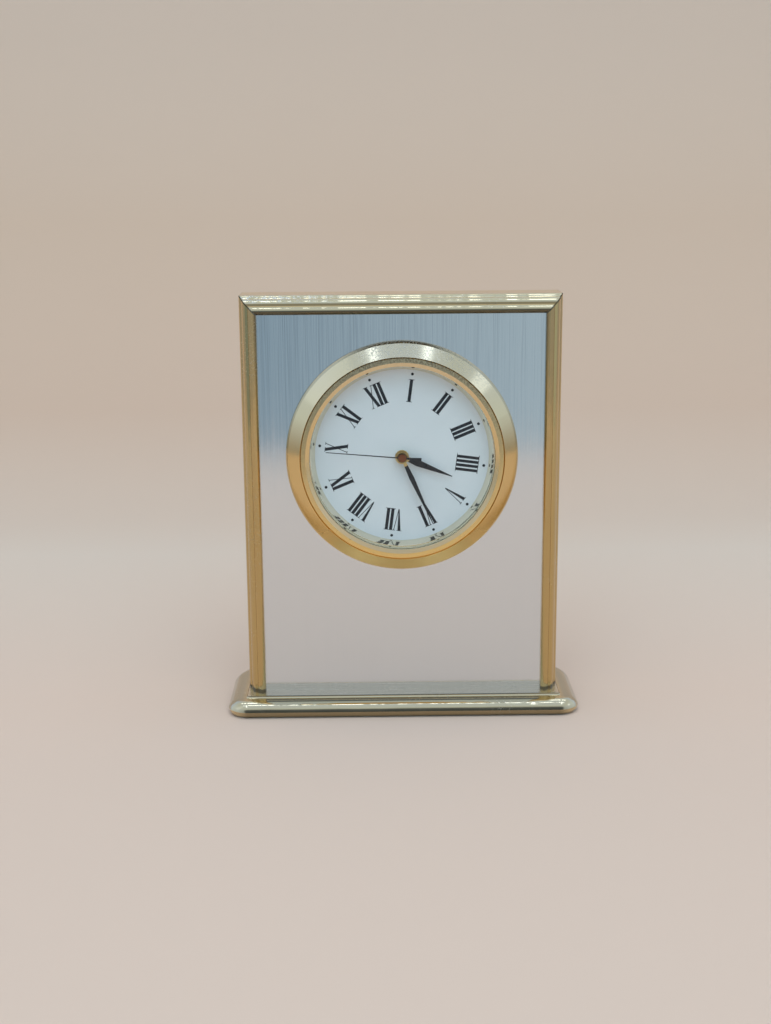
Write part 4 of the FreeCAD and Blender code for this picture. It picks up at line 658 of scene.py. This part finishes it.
def paper_finish():
    """Matt paper; mirrors don't see it beyond its front, sides and top."""
    m = Mat("paper")
    x, y, z = m.place()
    start, end = PAPER[0][0], PAPER[-1][0]
    # painted shade in the bend of the paper
    colour = m.ramp(m.span(m.plus(y, z), start, end, 0, 1),
                    [((at - start) / (end - start), c) for at, c in PAPER])
    cloud = m.span(m.noise(m.scaled(), 2.2, 2), 0.35, 0.65, 0, 0.12)
    grain = m.noise(m.scaled(), 900, 3)
    paper = m.principled(m.mix(cloud, colour, PAPER_CLOUD), 0.85, 0.0, m.bump(grain, 0.04, 0.05))
    start, end = PAPER_FRONT[0][0], PAPER_FRONT[-1][0]
    front = m.ramp(m.span(y, start, end, 0, 1),
                   [((at - start) / (end - start), (v, v, v)) for at, v in PAPER_FRONT])
    side = m.span(m.size(x), *PAPER_HALF_W, 0, 1)
    top = m.span(z, *PAPER_TOP, 0, 1)
    path = m.node("ShaderNodeLightPath")
    gone = m.math("MULTIPLY", m.most(front, side, top), path.outputs["Is Glossy Ray"], True)
    return m.finish(m.mix_shaders(gone, paper, m.node("ShaderNodeBsdfTransparent")))


sweep()

# the room as mirrors see it, by the height of the direction: dim below, cool daylight overhead
ROOM = [(-1.0, (0.45, 0.42, 0.38)), (-0.25, (0.46, 0.44, 0.42)), (-0.18, (0.41, 0.41, 0.41)),
        (-0.10, (0.36, 0.38, 0.42)), (0.05, (0.47, 0.57, 0.76)), (0.22, (0.60, 0.78, 1.05)),
        (0.6, (0.58, 0.74, 0.98)), (0.8, (0.54, 0.67, 0.80)), (0.95, (0.54, 0.70, 0.95)),
        (1.0, (0.54, 0.70, 0.95))]
DAYLIGHT = (0.50, 0.56, 0.60)
DIM_LEFT, DIM_RIGHT = (0.225, 0.315, 0.38), (0.44, 0.53, 0.57)
LIT_WALL = (0.72, 0.75, 0.74)
DARK_CLOTHES = (0.14, 0.18, 0.24)
# where the room changes, by the X, Y or Z of the direction: ahead of the clock is negative Y
STRAIGHT_AHEAD_Y, LOW_Z = (-0.85, -0.6), (0.38, 0.5)
DIM_X, LIT_WALL_Z = (-0.12, 0.12), (0.12, 0.24)
CLOTHES_Z, CLOTHES_HALF_H, CLOTHES_HALF_W = 0.58, 0.18, 0.45
CLOTHES_EDGE, CLOTHES_AHEAD_Y = (0.6, 1.3), (-0.3, -0.1)


def room():
    """A world that lights softly from all round; mirrors see a room with a dim place in front."""
    world = bpy.data.worlds.new("room")
    bpy.context.scene.world = world
    world.use_nodes = True
    m = Nodes(world.node_tree, "ShaderNodeOutputWorld")
    direction = m.node("ShaderNodeSeparateXYZ")
    m.link(m.coord.outputs["Generated"], direction.inputs[0])
    x, y, z = direction.outputs
    sky = m.ramp(m.span(z, -1.0, 1.0, 0, 1), [((h + 1) / 2, colour) for h, colour in ROOM])
    # low and straight ahead: the room behind the camera, darker to the left
    low = m.times(m.span(y, *STRAIGHT_AHEAD_Y, 1.0, 0.0), m.span(z, *LOW_Z, 1.0, 0.0))
    behind_camera = m.mix(m.span(x, *DIM_X, 0, 1), DIM_LEFT, DIM_RIGHT)
    sky = m.mix(low, sky, m.mix(m.span(z, *LIT_WALL_Z, 0, 1), behind_camera, LIT_WALL))
    # above it: whoever takes the picture, in dark clothes
    up = m.math("DIVIDE", m.less(z, CLOTHES_Z), CLOTHES_HALF_H)
    across = m.math("DIVIDE", x, CLOTHES_HALF_W)
    away = m.plus(m.times(up, up), m.times(across, across))
    dark = m.times(m.span(away, *CLOTHES_EDGE, 1.0, 0.0),
                   m.span(y, *CLOTHES_AHEAD_Y, 1.0, 0.0))
    mirrored = m.node("ShaderNodeBackground")
    m.link(m.mix(dark, sky, DARK_CLOTHES), mirrored.inputs["Color"])
    soft = m.node("ShaderNodeBackground")
    m.feed(soft.inputs["Color"], DAYLIGHT)
    path = m.node("ShaderNodeLightPath")
    m.end_with(m.mix_shaders(path.outputs["Is Glossy Ray"], soft, mirrored))


room()

LAMPS_FACE = Vector((0, 0, 0.07))    # the lamps face this point, inside the clock
WHITE, FILL, COOL = (1.0, 1.0, 1.0), (0.75, 1.25, 1.55), (0.61, 0.77, 1.06)
# matt surfaces see the first two lamps, and mirrors the others:
# direction, distance, width, length along Y, radiance and colour
MATT_LAMPS = {
    "softbox": ((0.0, -0.25, 1.0), 1.6, 1.6, 1.6, 1.5, WHITE),
    "fill": ((0.0, -0.85, 0.55), 1.5, 1.4, 1.2, 1.0, FILL),
}
MIRROR_LAMPS = {
    "strip_right": ((0.29, -0.19, 0.94), 1.2, 0.12, 0.4, 1.5, COOL),
    "strip_left": ((-0.28, -0.20, 0.94), 1.2, 0.12, 0.4, 1.5, COOL),
    "pane_right": ((0.80, -0.13, 0.58), 1.3, 0.24, 0.3, 0.6, COOL),
    "pane_left": ((-0.74, -0.17, 0.64), 1.3, 0.8, 0.4, 0.2, COOL),
}
# short lamps in rows, so that the ripples of the mouldings break their reflections up
ROW, ROW_STEP = 7, 0.15
for place in range(ROW):
    x = ROW_STEP * (place - ROW // 2)
    MIRROR_LAMPS["strip_back_%d" % place] = ((x, 0.44, 0.90), 1.3, 0.10, 0.17, 3.0, COOL)
    MIRROR_LAMPS["strip_top_%d" % place] = ((x, -0.02, 1.0), 1.3, 0.10, 0.08, 4.0, COOL)


def lamp(name, mirrors, direction, distance, width, length, radiance, colour):
    """A lamp that faces the clock, with its length as near to Y as that allows."""
    data = bpy.data.lights.new(name, "AREA")
    data.shape = "RECTANGLE"
    data.size, data.size_y = width, length
    data.energy = radiance * math.pi * width * length
    data.color = colour
    ob = bpy.data.objects.new(name, data)
    away = Vector(direction).normalized()
    along = (Vector((0, 1, 0)) - away * away.y).normalized()
    ob.location = LAMPS_FACE + away * distance
    ob.rotation_mode = "QUATERNION"
    turn = Matrix((along.cross(away), along, away)).transposed()
    ob.rotation_quaternion = turn.to_quaternion()
    ob.visible_diffuse = not mirrors
    ob.visible_glossy = mirrors
    ob.visible_camera = False
    bpy.context.scene.collection.objects.link(ob)


for name, values in MATT_LAMPS.items():
    lamp(name, False, *values)
for name, values in MIRROR_LAMPS.items():
    lamp(name, True, *values)


# ---------------------------------------------------------------- camera
FOCAL_PX, IMAGE_H_PX, SENSOR = 1463.0, 1024, 36
PITCH, YAW, ROLL = (math.radians(degrees) for degrees in (13.24, 0.54, -0.44))
NEAREST, FURTHEST = 0.02, 20          # what the camera shows, metres
CAMERA_AT = Vector((-9.19, -442.54, 164.40)) * MM


def camera():
    """The camera, fitted to the photo; pitch is down, yaw to the right."""
    forward = Vector((math.sin(YAW) * math.cos(PITCH), math.cos(YAW) * math.cos(PITCH),
                      -math.sin(PITCH)))
    level_right = Vector((math.cos(YAW), -math.sin(YAW), 0))
    level_up = level_right.cross(forward)
    right = level_right * math.cos(ROLL) + level_up * math.sin(ROLL)
    up = level_up * math.cos(ROLL) - level_right * math.sin(ROLL)
    data = bpy.data.cameras.new("camera")
    data.sensor_width = SENSOR
    data.sensor_fit = "AUTO"
    data.lens = FOCAL_PX / IMAGE_H_PX * SENSOR
    data.clip_start, data.clip_end = NEAREST, FURTHEST
    ob = bpy.data.objects.new("camera", data)
    turn = Matrix((right, up, -forward)).transposed().to_4x4()
    ob.matrix_world = Matrix.Translation(CAMERA_AT) @ turn
    bpy.context.scene.collection.objects.link(ob)
    bpy.context.scene.camera = ob


camera()
bpy.context.scene.view_settings.view_transform = "Standard"
bpy.context.scene.view_settings.look = "None"
bpy.context.scene.cycles.max_bounces = 10
bpy.context.scene.cycles.transparent_max_bounces = 16
